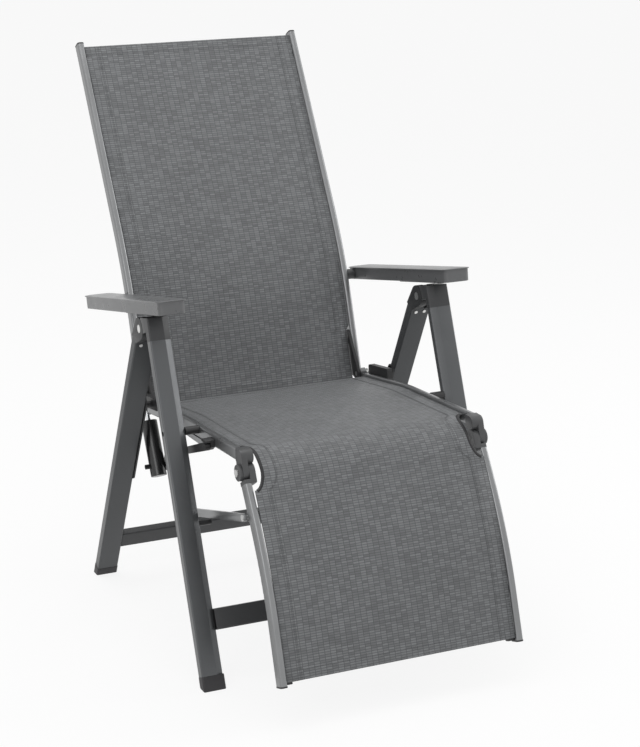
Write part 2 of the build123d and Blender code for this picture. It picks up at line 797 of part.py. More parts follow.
# Bracket that carries the gas spring's foot, inside the left seat rail
bracket_low_z = seat_bend_z + (seat_rear_z - seat_bend_z) * (gas_bracket_top_y - seat_bend_y) / (
    seat_rear_y - seat_bend_y
)
bracket_tops = (
    (gas_bracket_top_y, bracket_low_z - seat_rail_height / 4),
    (gas_bracket_top_y + gas_bracket_top_length, bracket_low_z - seat_rail_height / 2),
)
with BuildPart() as gas_bracket:
    with BuildSketch(side_plane(-gas_bracket_x)):
        with Locations((gas_pin.Y, gas_pin.Z)):
            Circle(gas_bracket_radius)
        with Locations(bracket_tops):
            Circle(gas_bracket_radius - gas_bracket_thickness)
        make_hull()
    extrude(amount=gas_bracket_thickness)
    with BuildSketch(side_plane(-(rail_outer_x - seat_rail_width))):
        with Locations(bracket_tops):
            Circle(gas_bracket_radius - gas_bracket_thickness)
        make_hull()
    extrude(amount=rail_outer_x - seat_rail_width - gas_bracket_x)
    with BuildSketch(side_plane(-(gas_bracket_x + cut_overrun))):
        with Locations((gas_pin.Y, gas_pin.Z)):
            Circle(gas_trunnion_radius + running_clearance)
    extrude(amount=gas_bracket_thickness + 2 * cut_overrun, mode=Mode.SUBTRACT)
gas_bracket.part.label = "gas_bracket"
export_step(gas_bracket.part, "parts/gas_bracket.step")

# Gas spring: cylinder with its trunnion, and the rod with its eye
with BuildPart() as gas_cylinder:
    with BuildSketch(leg_plane(-gas_x, gas_pin - gas_up * gas_below_pin, gas_up)):
        Circle(gas_radius)
    extrude(amount=gas_below_pin + gas_above_pin)
    fillet(gas_cylinder.edges().filter_by(GeomType.CIRCLE), radius=gas_edge)
    with BuildSketch(side_plane(-(gas_x + gas_radius + gas_trunnion_reach))):
        with Locations((gas_pin.Y, gas_pin.Z)):
            Circle(gas_trunnion_radius)
    extrude(
        amount=gas_x + gas_radius + gas_trunnion_reach - gas_bracket_x + gas_bracket_thickness
    )
    with BuildSketch(leg_plane(-gas_x, gas_pin + gas_up * gas_above_pin, gas_up)):
        Circle(rod_radius + running_clearance)
    extrude(amount=-rod_bore, mode=Mode.SUBTRACT)
gas_cylinder.part.label = "gas_cylinder"
export_step(gas_cylinder.part, "parts/gas_cylinder.step")

rod_eye_bore = rod_pin_radius + rod_eye_clearance
with BuildPart() as gas_rod:
    with BuildSketch(leg_plane(-gas_x, gas_pin + gas_up * (gas_above_pin - rod_inside), gas_up)):
        Circle(rod_radius)
    extrude(amount=gas_length - gas_above_pin + rod_inside - rod_eye_bore)
    with BuildSketch(side_plane(-gas_x - rod_eye_width / 2)):
        with Locations((rod_pin.Y, rod_pin.Z)):
            Circle(rod_eye_bore + rod_eye_wall)
    extrude(amount=rod_eye_width)
    with BuildSketch(side_plane(-gas_x - rod_eye_width / 2 - cut_overrun)):
        with Locations((rod_pin.Y, rod_pin.Z)):
            Circle(rod_eye_bore)
    extrude(amount=rod_eye_width + 2 * cut_overrun, mode=Mode.SUBTRACT)
gas_rod.part.label = "gas_rod"
export_step(gas_rod.part, "parts/gas_rod.step")

# Plate on the recline axis that the gas rod turns, with the rod's pin
with BuildPart() as recline_bracket:
    with BuildSketch(side_plane(-(rail_outer_x + face_gap))):
        with Locations((recline_axis.Y, recline_axis.Z)):
            Circle(bracket_radius)
        with Locations((rod_pin.Y, rod_pin.Z)):
            Circle(rod_pin_boss)
        make_hull()
        with Locations((recline_axis.Y, recline_axis.Z)):
            Circle(recline_pin_radius + running_clearance, mode=Mode.SUBTRACT)
    extrude(amount=-bracket_thickness)
    with BuildSketch(side_plane(-(rail_outer_x + face_gap))):
        with Locations((rod_pin.Y, rod_pin.Z)):
            Circle(rod_pin_radius)
    extrude(amount=rail_outer_x + face_gap - gas_x + rod_eye_width / 2)
recline_bracket.part.label = "recline_bracket"
export_step(recline_bracket.part, "parts/recline_bracket.step")

# Release lever under the left seat rail, with the hood that carries it
lever_pivot = Vector(0, lever_y, lever_z)
lever_tip = Vector(0, lever_tip_y, lever_tip_z)
lever_inner_x = rail_outer_x + lever_plate + face_gap
with BuildPart() as lever_bracket:
    with BuildSketch(side_plane(-rail_outer_x)):
        with BuildLine():
            Polyline(
                (hood_front_y, hood_top_z),
                (hood_rear_y, hood_top_z),
                (hood_rear_y, lever_z),
                (lever_y, lever_z - lever_hub_radius),
                (hood_front_y, lever_z),
                close=True,
            )
        make_face()
    extrude(amount=-lever_plate)
    with BuildSketch(side_plane(-rail_outer_x)):
        with Locations(((hood_front_y + hood_rear_y) / 2, hood_top_z - hood_thickness / 2)):
            RectangleRounded(hood_rear_y - hood_front_y, hood_thickness, cap_corner)
    extrude(amount=-(lever_plate + lever_width + 2 * face_gap))
    with BuildSketch(side_plane(-rail_outer_x)):
        with Locations((lever_pivot.Y, lever_pivot.Z)):
            Circle(lever_pin_radius)
    extrude(amount=-(lever_plate + lever_width + 2 * face_gap))
lever_bracket.part.label = "lever_bracket"
export_step(lever_bracket.part, "parts/lever_bracket.step")

with BuildPart() as release_lever:
    with BuildSketch(side_plane(-lever_inner_x)):
        with Locations((lever_pivot.Y, lever_pivot.Z)):
            Circle(lever_hub_radius)
        with Locations((lever_tip.Y, lever_tip.Z)):
            Circle(lever_tip_radius)
        make_hull()
        with Locations((lever_pivot.Y, lever_pivot.Z)):
            Circle(lever_pin_radius + running_clearance, mode=Mode.SUBTRACT)
    extrude(amount=-lever_width)
release_lever.part.label = "release_lever"
export_step(release_lever.part, "parts/release_lever.step")

# Back rails with their plugs and hinge plates
back_foot = Vector(0, back_foot_y, back_foot_z)
back_bend = Vector(0, back_bend_y, back_bend_z)
back_head = Vector(0, back_head_y, back_head_z)
back_low_up = (back_bend - back_foot).normalized()
back_low_front = back_low_up.rotate(Axis.X, 90)
back_high_up = (back_head - back_bend).normalized()
back_high_front = back_high_up.rotate(Axis.X, 90)
for side_name, side in SIDES:
    with BuildPart() as back_rail:
        with BuildLine() as back_path:
            FilletPolyline(
                back_foot + Vector(side * back_rail_x, 0, 0),
                back_bend + Vector(side * back_rail_x, 0, 0),
                back_head + Vector(side * back_rail_x, 0, 0),
                radius=back_bend_radius,
            )
        with BuildSketch(leg_plane(side * back_rail_x, back_foot, back_path.line % 0)):
            RectangleRounded(back_rail_width, back_rail_depth, rail_corner)
            offset(amount=-rail_wall, mode=Mode.SUBTRACT)
        sweep()
    back_rail.part.label = f"back_rail_{side_name}"
    export_step(back_rail.part, f"parts/back_rail_{side_name}.step")

# Hinge plates inside the lower ends of the back rails
plate_x = rail_outer_x - back_rail_width
plate_top = back_foot + back_low_up * back_plate_reach
with BuildPart() as back_plates:
    for side_name, side in SIDES:
        with BuildSketch(side_plane(side * plate_x)):
            with Locations((recline_axis.Y, recline_axis.Z)):
                Circle(seat_eye_radius + face_gap * 2)
            with Locations(side_points([back_foot + back_low_up * leg_corner * 2, plate_top])):
                Circle(back_rail_depth / 2 - rail_wall)
            make_hull()
            with Locations((recline_axis.Y, recline_axis.Z)):
                Circle(recline_pin_radius + running_clearance, mode=Mode.SUBTRACT)
        extrude(amount=-side * back_plate_thickness)
back_plates.part.label = "back_plates"
export_step(back_plates.part, "parts/back_plates.step")


with BuildPart() as back_end_plugs:
    for side_name, side in SIDES:
        with BuildSketch(leg_plane(side * back_rail_x, back_head, back_high_up)):
            RectangleRounded(
                back_rail_width + plug_margin, back_rail_depth + plug_margin, rail_corner
            )
        extrude(amount=plug_length)
back_end_plugs.part.label = "back_end_plugs"
export_step(back_end_plugs.part, "parts/back_end_plugs.step")

for tube_name, tube_centre in (
    (
        "back_top_bar",
        lean(back_head, back_high_up, back_high_front, -back_top_tube_inset, -tube_set),
    ),
    (
        "back_lower_bar",
        lean(back_foot, back_low_up, back_low_front, back_low_tube_inset, -tube_set),
    ),
):
    with BuildPart() as back_bar:
        bar_end = rail_outer_x - back_rail_width
        if tube_name == "back_lower_bar":
            bar_end -= back_plate_thickness
        with BuildSketch(side_plane(-bar_end)):
            with Locations((tube_centre.Y, tube_centre.Z)):
                Circle(tube_radius)
                Circle(tube_radius - tube_wall, mode=Mode.SUBTRACT)
        extrude(amount=bar_end * 2)
    back_bar.part.label = tube_name
    export_step(back_bar.part, f"parts/{tube_name}.step")

# Back sling
low_offset = back_low_front * back_sling_rise
high_offset = back_high_front * back_sling_rise
with BuildPart() as back_sling:
    with BuildLine() as back_sling_path:
        FilletPolyline(
            back_foot - back_low_up * back_sling_drop + low_offset,
            back_bend + (low_offset + high_offset) / 2,
            back_head + high_offset - back_high_up * back_sling_inset,
            radius=back_bend_radius,
        )
    with BuildSketch(leg_plane(0, back_sling_path.line @ 0, back_sling_path.line % 0)):
        Rectangle(sling_half_width * 2, sling_thickness)
    sweep()
    plate_clear = back_rail_depth / 2
    plate_drop = plate_clear + back_sling_drop
    plate_end = back_plate_reach + plate_clear
    plate_notch = back_plate_thickness
    for sling_side in (-1, 1):
        notch_start = sling_side * (sling_half_width - plate_notch)
        with BuildSketch(Plane.YZ.offset(notch_start)):
            with BuildLine():
                Polyline(
                    side_points(
                        [
                            lean(back_foot, back_low_up, back_low_front, -plate_drop, plate_clear),
                            lean(back_foot, back_low_up, back_low_front, -plate_drop, -plate_clear),
                            lean(back_foot, back_low_up, back_low_front, plate_end, -plate_clear),
                            lean(back_foot, back_low_up, back_low_front, plate_end, plate_clear),
                        ]
                    ),
                    close=True,
                )
            make_face()
        extrude(amount=sling_side * plate_notch * 2, mode=Mode.SUBTRACT)
back_sling.part.label = "back_sling"
export_step(back_sling.part, "parts/back_sling.step")

# Pins on the back rails that carry the armrests
with BuildPart() as arm_pivot_pins:
    for side_name, side in SIDES:
        pin_end_x = arm_inner_x + arm_overhang + arm_bush_reach
        with BuildSketch(side_plane(side * rail_outer_x)):
            with Locations((arm_pivot.Y, arm_pivot.Z)):
                Circle(arm_pin_radius)
        extrude(amount=side * (pin_end_x + face_gap - rail_outer_x))
        with BuildSketch(side_plane(side * (pin_end_x + face_gap))):
            with Locations((arm_pivot.Y, arm_pivot.Z)):
                Circle(arm_pin_head_radius)
        extrude(amount=side * arm_pin_head)
arm_pivot_pins.part.label = "arm_pivot_pins"
export_step(arm_pivot_pins.part, "parts/arm_pivot_pins.step")

# Knuckles between the back rails and the armrests
flange_end_x = arm_inner_x + arm_overhang - face_gap
with BuildPart() as arm_knuckles:
    for side_name, side in SIDES:
        with BuildSketch(side_plane(side * (rail_outer_x + face_gap))):
            with Locations((arm_pivot.Y, arm_pivot.Z)):
                Circle(knuckle_flange_radius)
                Circle(arm_pin_radius + running_clearance, mode=Mode.SUBTRACT)
        extrude(amount=side * (flange_end_x - rail_outer_x - face_gap))
        with BuildSketch(side_plane(side * flange_end_x)):
            with Locations((arm_pivot.Y, arm_pivot.Z)):
                Circle(arm_bush_radius)
                Circle(arm_pin_radius + running_clearance, mode=Mode.SUBTRACT)
        extrude(amount=side * (arm_bush_reach + face_gap))
arm_knuckles.part.label = "arm_knuckles"
export_step(arm_knuckles.part, "parts/arm_knuckles.step")

# Armrests: a lipped top over side walls, open below
for side_name, side in SIDES:


    # Armrest shell: a lipped top over side walls, open below
    arm_length = arm_front_reach + arm_rear_reach
    arm_middle = lean(arm_pivot, arm_forward, arm_up, (arm_front_reach - arm_rear_reach) / 2, -arm_fall)
    shell_height = arm_rise + arm_fall - arm_lip
    body_width = arm_width - 2 * arm_overhang
    body_length = arm_length - 2 * arm_overhang
    arm_plane = Plane(
        origin=(side * arm_mid_x, arm_middle.Y, arm_middle.Z), x_dir=(1, 0, 0), z_dir=arm_up
    )
    lip_plane = arm_plane.offset(shell_height)
    with BuildPart() as armrest:
        with BuildSketch(arm_plane):
            RectangleRounded(body_width, body_length, arm_corner - arm_overhang)
            offset(amount=-arm_wall, mode=Mode.SUBTRACT)
        extrude(amount=shell_height)
        with BuildSketch(lip_plane.offset(arm_lip - arm_top)):
            RectangleRounded(body_width, body_length, arm_corner - arm_overhang)
        extrude(amount=arm_top - arm_lip)
        with BuildSketch(lip_plane):
            RectangleRounded(arm_width, arm_length, arm_corner)
        extrude(amount=arm_lip)
        with BuildSketch(side_plane(side * arm_inner_x)):
            with Locations((arm_pivot.Y, arm_pivot.Z)):
                Circle(arm_bush_radius + running_clearance)
        extrude(amount=side * (arm_overhang + arm_wall * 2), mode=Mode.SUBTRACT)
    armrest.part.label = f"armrest_{side_name}"
    export_step(armrest.part, f"parts/armrest_{side_name}.step")

# Tracks under the armrests, above the caps of the legs
track_length = track_front_reach - track_rear_reach
track_middle = lean(
    arm_pivot, arm_forward, arm_up, (track_front_reach + track_rear_reach) / 2, arm_rise - arm_top
)
with BuildPart() as arm_tracks:
    for side_name, side in SIDES:
        track_plane = Plane(
            origin=(side * arm_mid_x, track_middle.Y, track_middle.Z), x_dir=(1, 0, 0), z_dir=-arm_up
        )
        with BuildSketch(track_plane):
            RectangleRounded(track_width, track_length, leg_corner)
            Rectangle(
                track_width - 2 * track_wall, track_length - 2 * track_wall, mode=Mode.SUBTRACT
            )
        extrude(amount=arm_rise - arm_top + arm_fall + track_drop)
        with BuildSketch(track_plane):
            Rectangle(track_width - track_wall, track_length - track_wall)
        extrude(amount=track_wall)
arm_tracks.part.label = "arm_tracks"
export_step(arm_tracks.part, "parts/arm_tracks.step")


# Leg rest rails, knuckles and stays
leg_rail_top = leg_axis + leg_down * leg_rail_start
leg_bend = Vector(0, leg_bend_y, leg_bend_z)
leg_end = Vector(0, leg_end_y, leg_end_z)
leg_low_up = (leg_end - leg_bend).normalized()
leg_low_back = Vector(0, -leg_low_up.Z, leg_low_up.Y)
for side_name, side in SIDES:
    with BuildPart() as leg_rail:
        with BuildLine() as leg_path:
            FilletPolyline(
                leg_rail_top + Vector(side * leg_rail_x, 0, 0),
                leg_bend + Vector(side * leg_rail_x, 0, 0),
                leg_end + Vector(side * leg_rail_x, 0, 0),
                radius=leg_bend_radius,
            )
        with BuildSketch(leg_plane(side * leg_rail_x, leg_rail_top, leg_path.line % 0)):
            RectangleRounded(leg_rail_width, leg_rail_depth, rail_corner)
            offset(amount=-rail_wall, mode=Mode.SUBTRACT)
        sweep()
        lug_foot = stay_pin - leg_back * (leg_rail_depth / 2 + stay_lug_radius)
        lug_out = leg_rail_depth / 2 - rail_wall / 2
        with BuildSketch(side_plane(side * (rail_outer_x - leg_rail_width + leg_corner))):
            with Locations((stay_pin.Y, stay_pin.Z)):
                Circle(stay_lug_radius)
            with Locations(
                side_points(
                    [
                        lean(lug_foot, leg_down, leg_back, stay_lug_length / 2, lug_out),
                        lean(lug_foot, leg_down, leg_back, -stay_lug_length / 2, lug_out),
                    ]
                )
            ):
                Circle(rail_wall / 2)
            make_hull()
            with Locations((stay_pin.Y, stay_pin.Z)):
                Circle(stay_pin_radius + running_clearance, mode=Mode.SUBTRACT)
        extrude(amount=side * (leg_rail_width - 2 * leg_corner))
    leg_rail.part.label = f"leg_rail_{side_name}"
    export_step(leg_rail.part, f"parts/leg_rail_{side_name}.step")

    block_from = leg_axis + leg_down * knuckle_block_start
    with BuildPart() as leg_knuckle:
        with BuildSketch(leg_plane(side * (rail_outer_x - knuckle_width / 2), block_from, leg_down)):
            RectangleRounded(knuckle_width, leg_rail_depth + plug_margin, leg_corner)
        extrude(amount=leg_rail_start - knuckle_block_start)
        with BuildSketch(side_plane(side * (rail_outer_x - knuckle_width))):
            with Locations((leg_axis.Y, leg_axis.Z)):
                Circle(knuckle_radius)
            leaf_foot = leg_axis + leg_down * (leg_rail_start - leg_corner)
            with Locations(
                side_points(
                    [
                        lean(leaf_foot, leg_down, leg_back, 0, leg_rail_depth / 2 - leg_corner),
                        lean(leaf_foot, leg_down, leg_back, 0, -leg_rail_depth / 2 + leg_corner),
                    ]
                )
            ):
                Circle(leg_corner)
            make_hull()
            with Locations((leg_axis.Y, leg_axis.Z)):
                Circle(ratchet_pin_radius + running_clearance, mode=Mode.SUBTRACT)
        extrude(amount=side * (knuckle_width - knuckle_leaf - face_gap))
    leg_knuckle.part.label = f"leg_knuckle_{side_name}"
    export_step(leg_knuckle.part, f"parts/leg_knuckle_{side_name}.step")

# Stays of the leg rest, each resting on a stud inside the front leg
stay_middle = stay_pin + stay_back * (stay_length / 2)
with BuildPart() as stays:
    for side_name, side in SIDES:
        stay_plane = Plane(
            origin=(side * stay_x, stay_middle.Y, stay_middle.Z),
            x_dir=stay_back,
            z_dir=(side, 0, 0),
        )
        with BuildSketch(stay_plane):
            SlotOverall(stay_length + stay_height, stay_height)
        extrude(amount=stay_thickness)
        with BuildSketch(side_plane(side * (stay_x - cut_overrun))):
            with Locations((stay_pin.Y, stay_pin.Z)):
                Circle(stay_pin_radius + running_clearance)
        extrude(amount=side * (stay_thickness + 2 * cut_overrun), mode=Mode.SUBTRACT)
stays.part.label = "stays"
export_step(stays.part, "parts/stays.step")


with BuildPart() as stay_pins:
    head_x = rail_outer_x - leg_rail_width - face_gap
    for side_name, side in SIDES:
        with BuildSketch(side_plane(side * head_x)):
            with Locations((stay_pin.Y, stay_pin.Z)):
                Circle(stay_pin_radius)
        extrude(amount=side * (stay_x + stay_thickness - head_x))
        with BuildSketch(side_plane(side * head_x)):
            with Locations((stay_pin.Y, stay_pin.Z)):
                Circle(stay_head_radius)
        extrude(amount=-side * stay_head_height)
        with BuildSketch(side_plane(side * (stay_x + stay_thickness))):
            with Locations((stay_pin.Y, stay_pin.Z)):
                Circle(stay_pin_radius * 3 / 2)
        extrude(amount=side * leg_wall)
stay_pins.part.label = "stay_pins"
export_step(stay_pins.part, "parts/stay_pins.step")

# Plugs at the foot of the leg rest, each with a short inward stub
with BuildPart() as leg_end_plugs:
    for side_name, side in SIDES:
        with BuildSketch(leg_plane(side * leg_rail_x, leg_end, leg_low_up)):
            RectangleRounded(
                leg_rail_width + plug_margin, leg_rail_depth + plug_margin, rail_corner
            )
        extrude(amount=plug_length)
        stub_middle = leg_end - leg_low_up * (leg_stub_height / 2) + leg_low_back * (leg_stub_height / 4)
        stub_plane = Plane(
            origin=(side * (rail_outer_x - leg_rail_width), stub_middle.Y, stub_middle.Z),
            x_dir=leg_low_up,
            z_dir=(-side, 0, 0),
        )
        with BuildSketch(stub_plane):
            RectangleRounded(leg_stub_height, leg_stub_height, leg_corner)
        extrude(amount=leg_stub_reach)
leg_end_plugs.part.label = "leg_end_plugs"
export_step(leg_end_plugs.part, "parts/leg_end_plugs.step")

leg_bar_centre = leg_end - leg_low_up * leg_tube_inset + leg_low_back * tube_set
with BuildPart() as leg_rest_bar:
    bar_end = rail_outer_x - leg_rail_width
    with BuildSketch(side_plane(-bar_end)):
        with Locations((leg_bar_centre.Y, leg_bar_centre.Z)):
            Circle(tube_radius)
            Circle(tube_radius - tube_wall, mode=Mode.SUBTRACT)
    extrude(amount=bar_end * 2)
leg_rest_bar.part.label = "leg_rest_bar"
export_step(leg_rest_bar.part, "parts/leg_rest_bar.step")

# Leg rest sling: it goes on from the seat sling
with BuildPart() as leg_sling:
    with BuildLine() as leg_sling_path:
        FilletPolyline(
            leg_axis + leg_down * leg_sling_start - leg_back * (leg_rail_depth / 2 + leg_sling_rise),
            leg_bend - (leg_back + leg_low_back) * (leg_sling_rise / 2),
            leg_end - leg_low_up * leg_sling_inset - leg_low_back * leg_sling_rise,
            radius=leg_bend_radius,
        )
    with BuildSketch(leg_plane(0, leg_sling_path.line @ 0, leg_sling_path.line % 0)):
        Rectangle(leg_sling_half_width * 2, sling_thickness)
    sweep()
    leg_notch_plane = Plane(
        origin=leg_axis + leg_back * leg_rail_depth, x_dir=(1, 0, 0), z_dir=-leg_back
    )
    with BuildSketch(leg_notch_plane):
        with Locations((-leg_sling_half_width, 0), (leg_sling_half_width, 0)):
            Ellipse(sling_notch_width, sling_notch_reach + leg_rail_start / 2)
    extrude(amount=leg_rail_depth * 3, mode=Mode.SUBTRACT)
leg_sling.part.label = "leg_sling"
export_step(leg_sling.part, "parts/leg_sling.step")
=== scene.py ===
"""Reclining garden armchair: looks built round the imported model, in metres."""

import math

import bmesh
import bpy
from mathutils import Matrix, Vector


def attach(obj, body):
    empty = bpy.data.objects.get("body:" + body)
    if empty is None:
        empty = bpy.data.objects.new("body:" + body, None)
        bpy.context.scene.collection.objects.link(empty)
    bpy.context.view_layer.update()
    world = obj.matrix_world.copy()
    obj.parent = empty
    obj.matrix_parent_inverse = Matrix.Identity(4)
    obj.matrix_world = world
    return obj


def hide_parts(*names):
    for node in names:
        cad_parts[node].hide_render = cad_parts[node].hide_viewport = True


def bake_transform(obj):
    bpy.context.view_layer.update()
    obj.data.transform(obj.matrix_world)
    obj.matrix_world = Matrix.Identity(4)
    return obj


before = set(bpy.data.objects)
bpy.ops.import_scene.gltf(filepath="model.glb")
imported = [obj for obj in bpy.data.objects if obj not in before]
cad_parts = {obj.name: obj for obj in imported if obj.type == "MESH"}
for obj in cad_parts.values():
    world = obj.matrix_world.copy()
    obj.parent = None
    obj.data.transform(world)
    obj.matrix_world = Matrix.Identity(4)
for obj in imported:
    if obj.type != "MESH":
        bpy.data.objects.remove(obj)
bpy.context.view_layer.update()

MM = 0.001
SIDES = (("left", -1), ("right", 1))

# Places in the side view, millimetres as (y, z), as the source has them
BACK_FOOT, BACK_BEND, BACK_HEAD = (182.4, 418.3), (261.8, 656.9), (527.0, 1100.7)
SEAT_REAR, SEAT_BEND, SEAT_FRONT = (131.0, 413.2), (-60.0, 441.0), (-349.0, 459.5)
LEG_HINGE, LEG_BEND, LEG_END = (-359.0, 431.0), (-463.0, 268.0), (-526.3, 78.0)
ARM_PIVOT, ARM_SLOPE = (263.0, 612.0), 11.5

# Slings, millimetres: the lines that the cloths follow, then the cloth itself
RAIL_OUTER, RAIL_WIDTH = 249.0, 14.0
BACK_DROP, BACK_STAND, BACK_HEAD_INSET = 18.0, 5.0, 6.0
BACK_BEND_RADIUS, BACK_LINE_STEP = 1000, 8
SLING_GAP = 0.4
SLING_RISE = 6.0
LEG_START, LEG_START_STAND, LEG_END_INSET, LEG_END_STAND = 14, 19, 5, 6
SEAT_BEND_RADIUS, KNEE_RADIUS, LEG_BEND_RADIUS, SEAT_LINE_STEP = 700, 78, 900, 4
PLATE_LENGTH, PLATE_ROOM = 111, 6.4
CLOTH, CLOTH_BAND = 1.1, 1.7
BAND_WIDTH, HEM_WIDTH = 32.0, 20.0
NOTCH_WIDTH, NOTCH_SEAT, NOTCH_LEG = 20.0, 36.0, 40.0
NOTCH_END_MARKS = (0.15, 0.5, 1.1, 2, 3.2, 5, 7.5, 10.5, 14, 18, 23, 28, 34, 40)
BINDING_WIDTH, BINDING_THICK, BINDING_SIDES, BINDING_ROWS = 8.0, 3.0, 10, 61
STITCH_STEP, STITCH_LONG, STITCH_RADIUS = 4.2, 3.0, 0.42
SEAM_INSETS, SEAM_STEP, SEAM_ENDS, SEAM_LIFT, HEM_STITCH = (28.0, 30.6), 6.0, 4.0, 0.1, 1.5

# Weave: a yarn and the gap between yarns in millimetres, warps to the millimetre,
# and the scale at which a wave texture has one band to a unit
YARN_LENGTH, YARN_HEIGHT, YARN_GAP = 11.5, 4.6, 0.9
WARPS, ONE_BAND = 0.55, 0.31416

# Unevenness of stretched cloth, millimetres: depth, reach across and reach along
SWELL, SWELL_ACROSS, SWELL_ALONG = 0.28, 61, 83
WRINKLE, WRINKLE_ACROSS, WRINKLE_ALONG = 0.16, 23, 47
BACK_SEED, SEAT_SEED = 0.7, 1.9

# Armrests, millimetres
ARM_INNER, ARM_WIDTH = 269.0, 60.0
ARM_REAR, ARM_FRONT = 27.0, 437.0
ARM_RISE, ARM_FALL, ARM_LIP, ARM_OVERHANG = 16.0, 12.0, 3.5, 3.0
ARM_WALL, ARM_CORNER, ARM_CROWN, LEAST_CORNER = 3.0, 14.0, 1.6, 0.6

# Faces across an eased edge
EASE_SEGMENTS = 3

# Camera, metres, and its focal length in picture heights
EYE = (-1.5290, -3.5481, 1.6367)
VIEW_TURN, VIEW_FALL, VIEW_ROLL = 24.30, 16.52, 0.23
FOCAL_HEIGHTS = 2002.6 / 747

# Light: the world as it lights the object, and how white the floor looks
ROOM_STRENGTH, FLOOR_WHITE, FLOOR_REACH = 0.62, 0.86, 14.0


# Materials

class Finish:
    """A node material with small helpers, reading Object coordinates or a UV map."""

    def __init__(self, name, colour, metallic=0.0, specular=0.5):
        self.material = bpy.data.materials.new(name)
        self.material.use_nodes = True
        self.tree = self.material.node_tree
        self.shader = self.tree.nodes["Principled BSDF"]
        self.colour = colour
        self.shader.inputs["Metallic"].default_value = metallic
        self.shader.inputs["Specular IOR Level"].default_value = specular
        self.material.diffuse_color = (*colour, 1)

    def node(self, kind):
        return self.tree.nodes.new(kind)

    def link(self, source, target):
        self.tree.links.new(source, target)

    def coordinates(self, scale=(1, 1, 1), uv=False):
        source = self.node("ShaderNodeTexCoord").outputs["UV" if uv else "Object"]
        mapping = self.node("ShaderNodeMapping")
        mapping.inputs["Scale"].default_value = scale
        self.link(source, mapping.inputs["Vector"])
        return mapping.outputs["Vector"]

    def noise(self, vector, scale, detail=3.0, rough=0.5):
        made = self.node("ShaderNodeTexNoise")
        made.inputs["Scale"].default_value = scale
        made.inputs["Detail"].default_value = detail
        made.inputs["Roughness"].default_value = rough
        self.link(vector, made.inputs["Vector"])
        return made.outputs["Fac"]

    def ramp(self, source, low, high, low_value, high_value):
        made = self.node("ShaderNodeMapRange")
        for key, value in (
            ("From Min", low), ("From Max", high), ("To Min", low_value), ("To Max", high_value)
        ):
            made.inputs[key].default_value = value
        self.link(source, made.inputs["Value"])
        return made.outputs["Result"]

    def maths(self, operation, first, second):
        made = self.node("ShaderNodeMath")
        made.operation = operation
        for socket, value in zip(made.inputs, (first, second)):
            if isinstance(value, (int, float)):
                socket.default_value = value
            else:
                self.link(value, socket)
        return made.outputs["Value"]

    def shade(self, strength):
        """The colour times a strength that varies over the surface."""
        made = self.node("ShaderNodeVectorMath")
        made.operation = "SCALE"
        made.inputs[0].default_value = self.colour
        self.link(strength, made.inputs["Scale"])
        self.link(made.outputs["Vector"], self.shader.inputs["Base Color"])

    def relief(self, height, distance, strength):
        made = self.node("ShaderNodeBump")
        made.inputs["Distance"].default_value = distance
        made.inputs["Strength"].default_value = strength
        self.link(height, made.inputs["Height"])
        self.link(made.outputs["Normal"], self.shader.inputs["Normal"])

    def roughness(self, value):
        self.link(value, self.shader.inputs["Roughness"])


def powder_coat(name, colour, rough, metallic, specular=0.5):
    """Fine-textured powder coat on aluminium, with slight handling wear."""
    finish = Finish(name, colour, metallic, specular)
    place = finish.coordinates()
    grain = finish.noise(place, 1400, 2)
    cloud = finish.noise(place, 9, 4)
    finish.shade(
        finish.maths(
            "ADD", finish.ramp(cloud, 0.3, 0.7, 0.94, 1.05), finish.ramp(grain, 0.3, 0.7, -0.04, 0.04)
        )
    )
    finish.roughness(finish.ramp(cloud, 0.3, 0.7, rough - 0.04, rough + 0.06))
    finish.relief(grain, 0.00012, 0.35)
    return finish.material


def moulded(name, colour, rough, specular=0.5, grain_size=900):
    """Moulded plastic with a fine erosion grain."""
    finish = Finish(name, colour, 0.0, specular)
    place = finish.coordinates()
    grain = finish.noise(place, grain_size, 3, 0.6)
    scuff = finish.noise(place, 28, 5, 0.65)
    finish.shade(
        finish.maths(
            "ADD", finish.ramp(scuff, 0.35, 0.7, 0.95, 1.06), finish.ramp(grain, 0.3, 0.7, -0.05, 0.05)
        )
    )
    finish.roughness(finish.ramp(scuff, 0.3, 0.75, rough - 0.05, rough + 0.09))
    finish.relief(grain, 0.00018, 0.4)
    return finish.material


def bare_metal(name, colour, rough, stretch=(1, 1, 1)):
    """Turned or plated steel with fine tool marks."""
    finish = Finish(name, colour, 1.0)
    marks = finish.noise(finish.coordinates(stretch), 700, 2)
    cloud = finish.noise(finish.coordinates(), 40, 3)
    finish.shade(finish.ramp(cloud, 0.3, 0.7, 0.9, 1.06))
    finish.roughness(finish.ramp(marks, 0.3, 0.7, rough - 0.06, rough + 0.08))
    finish.relief(marks, 0.00005, 0.4)
    return finish.material


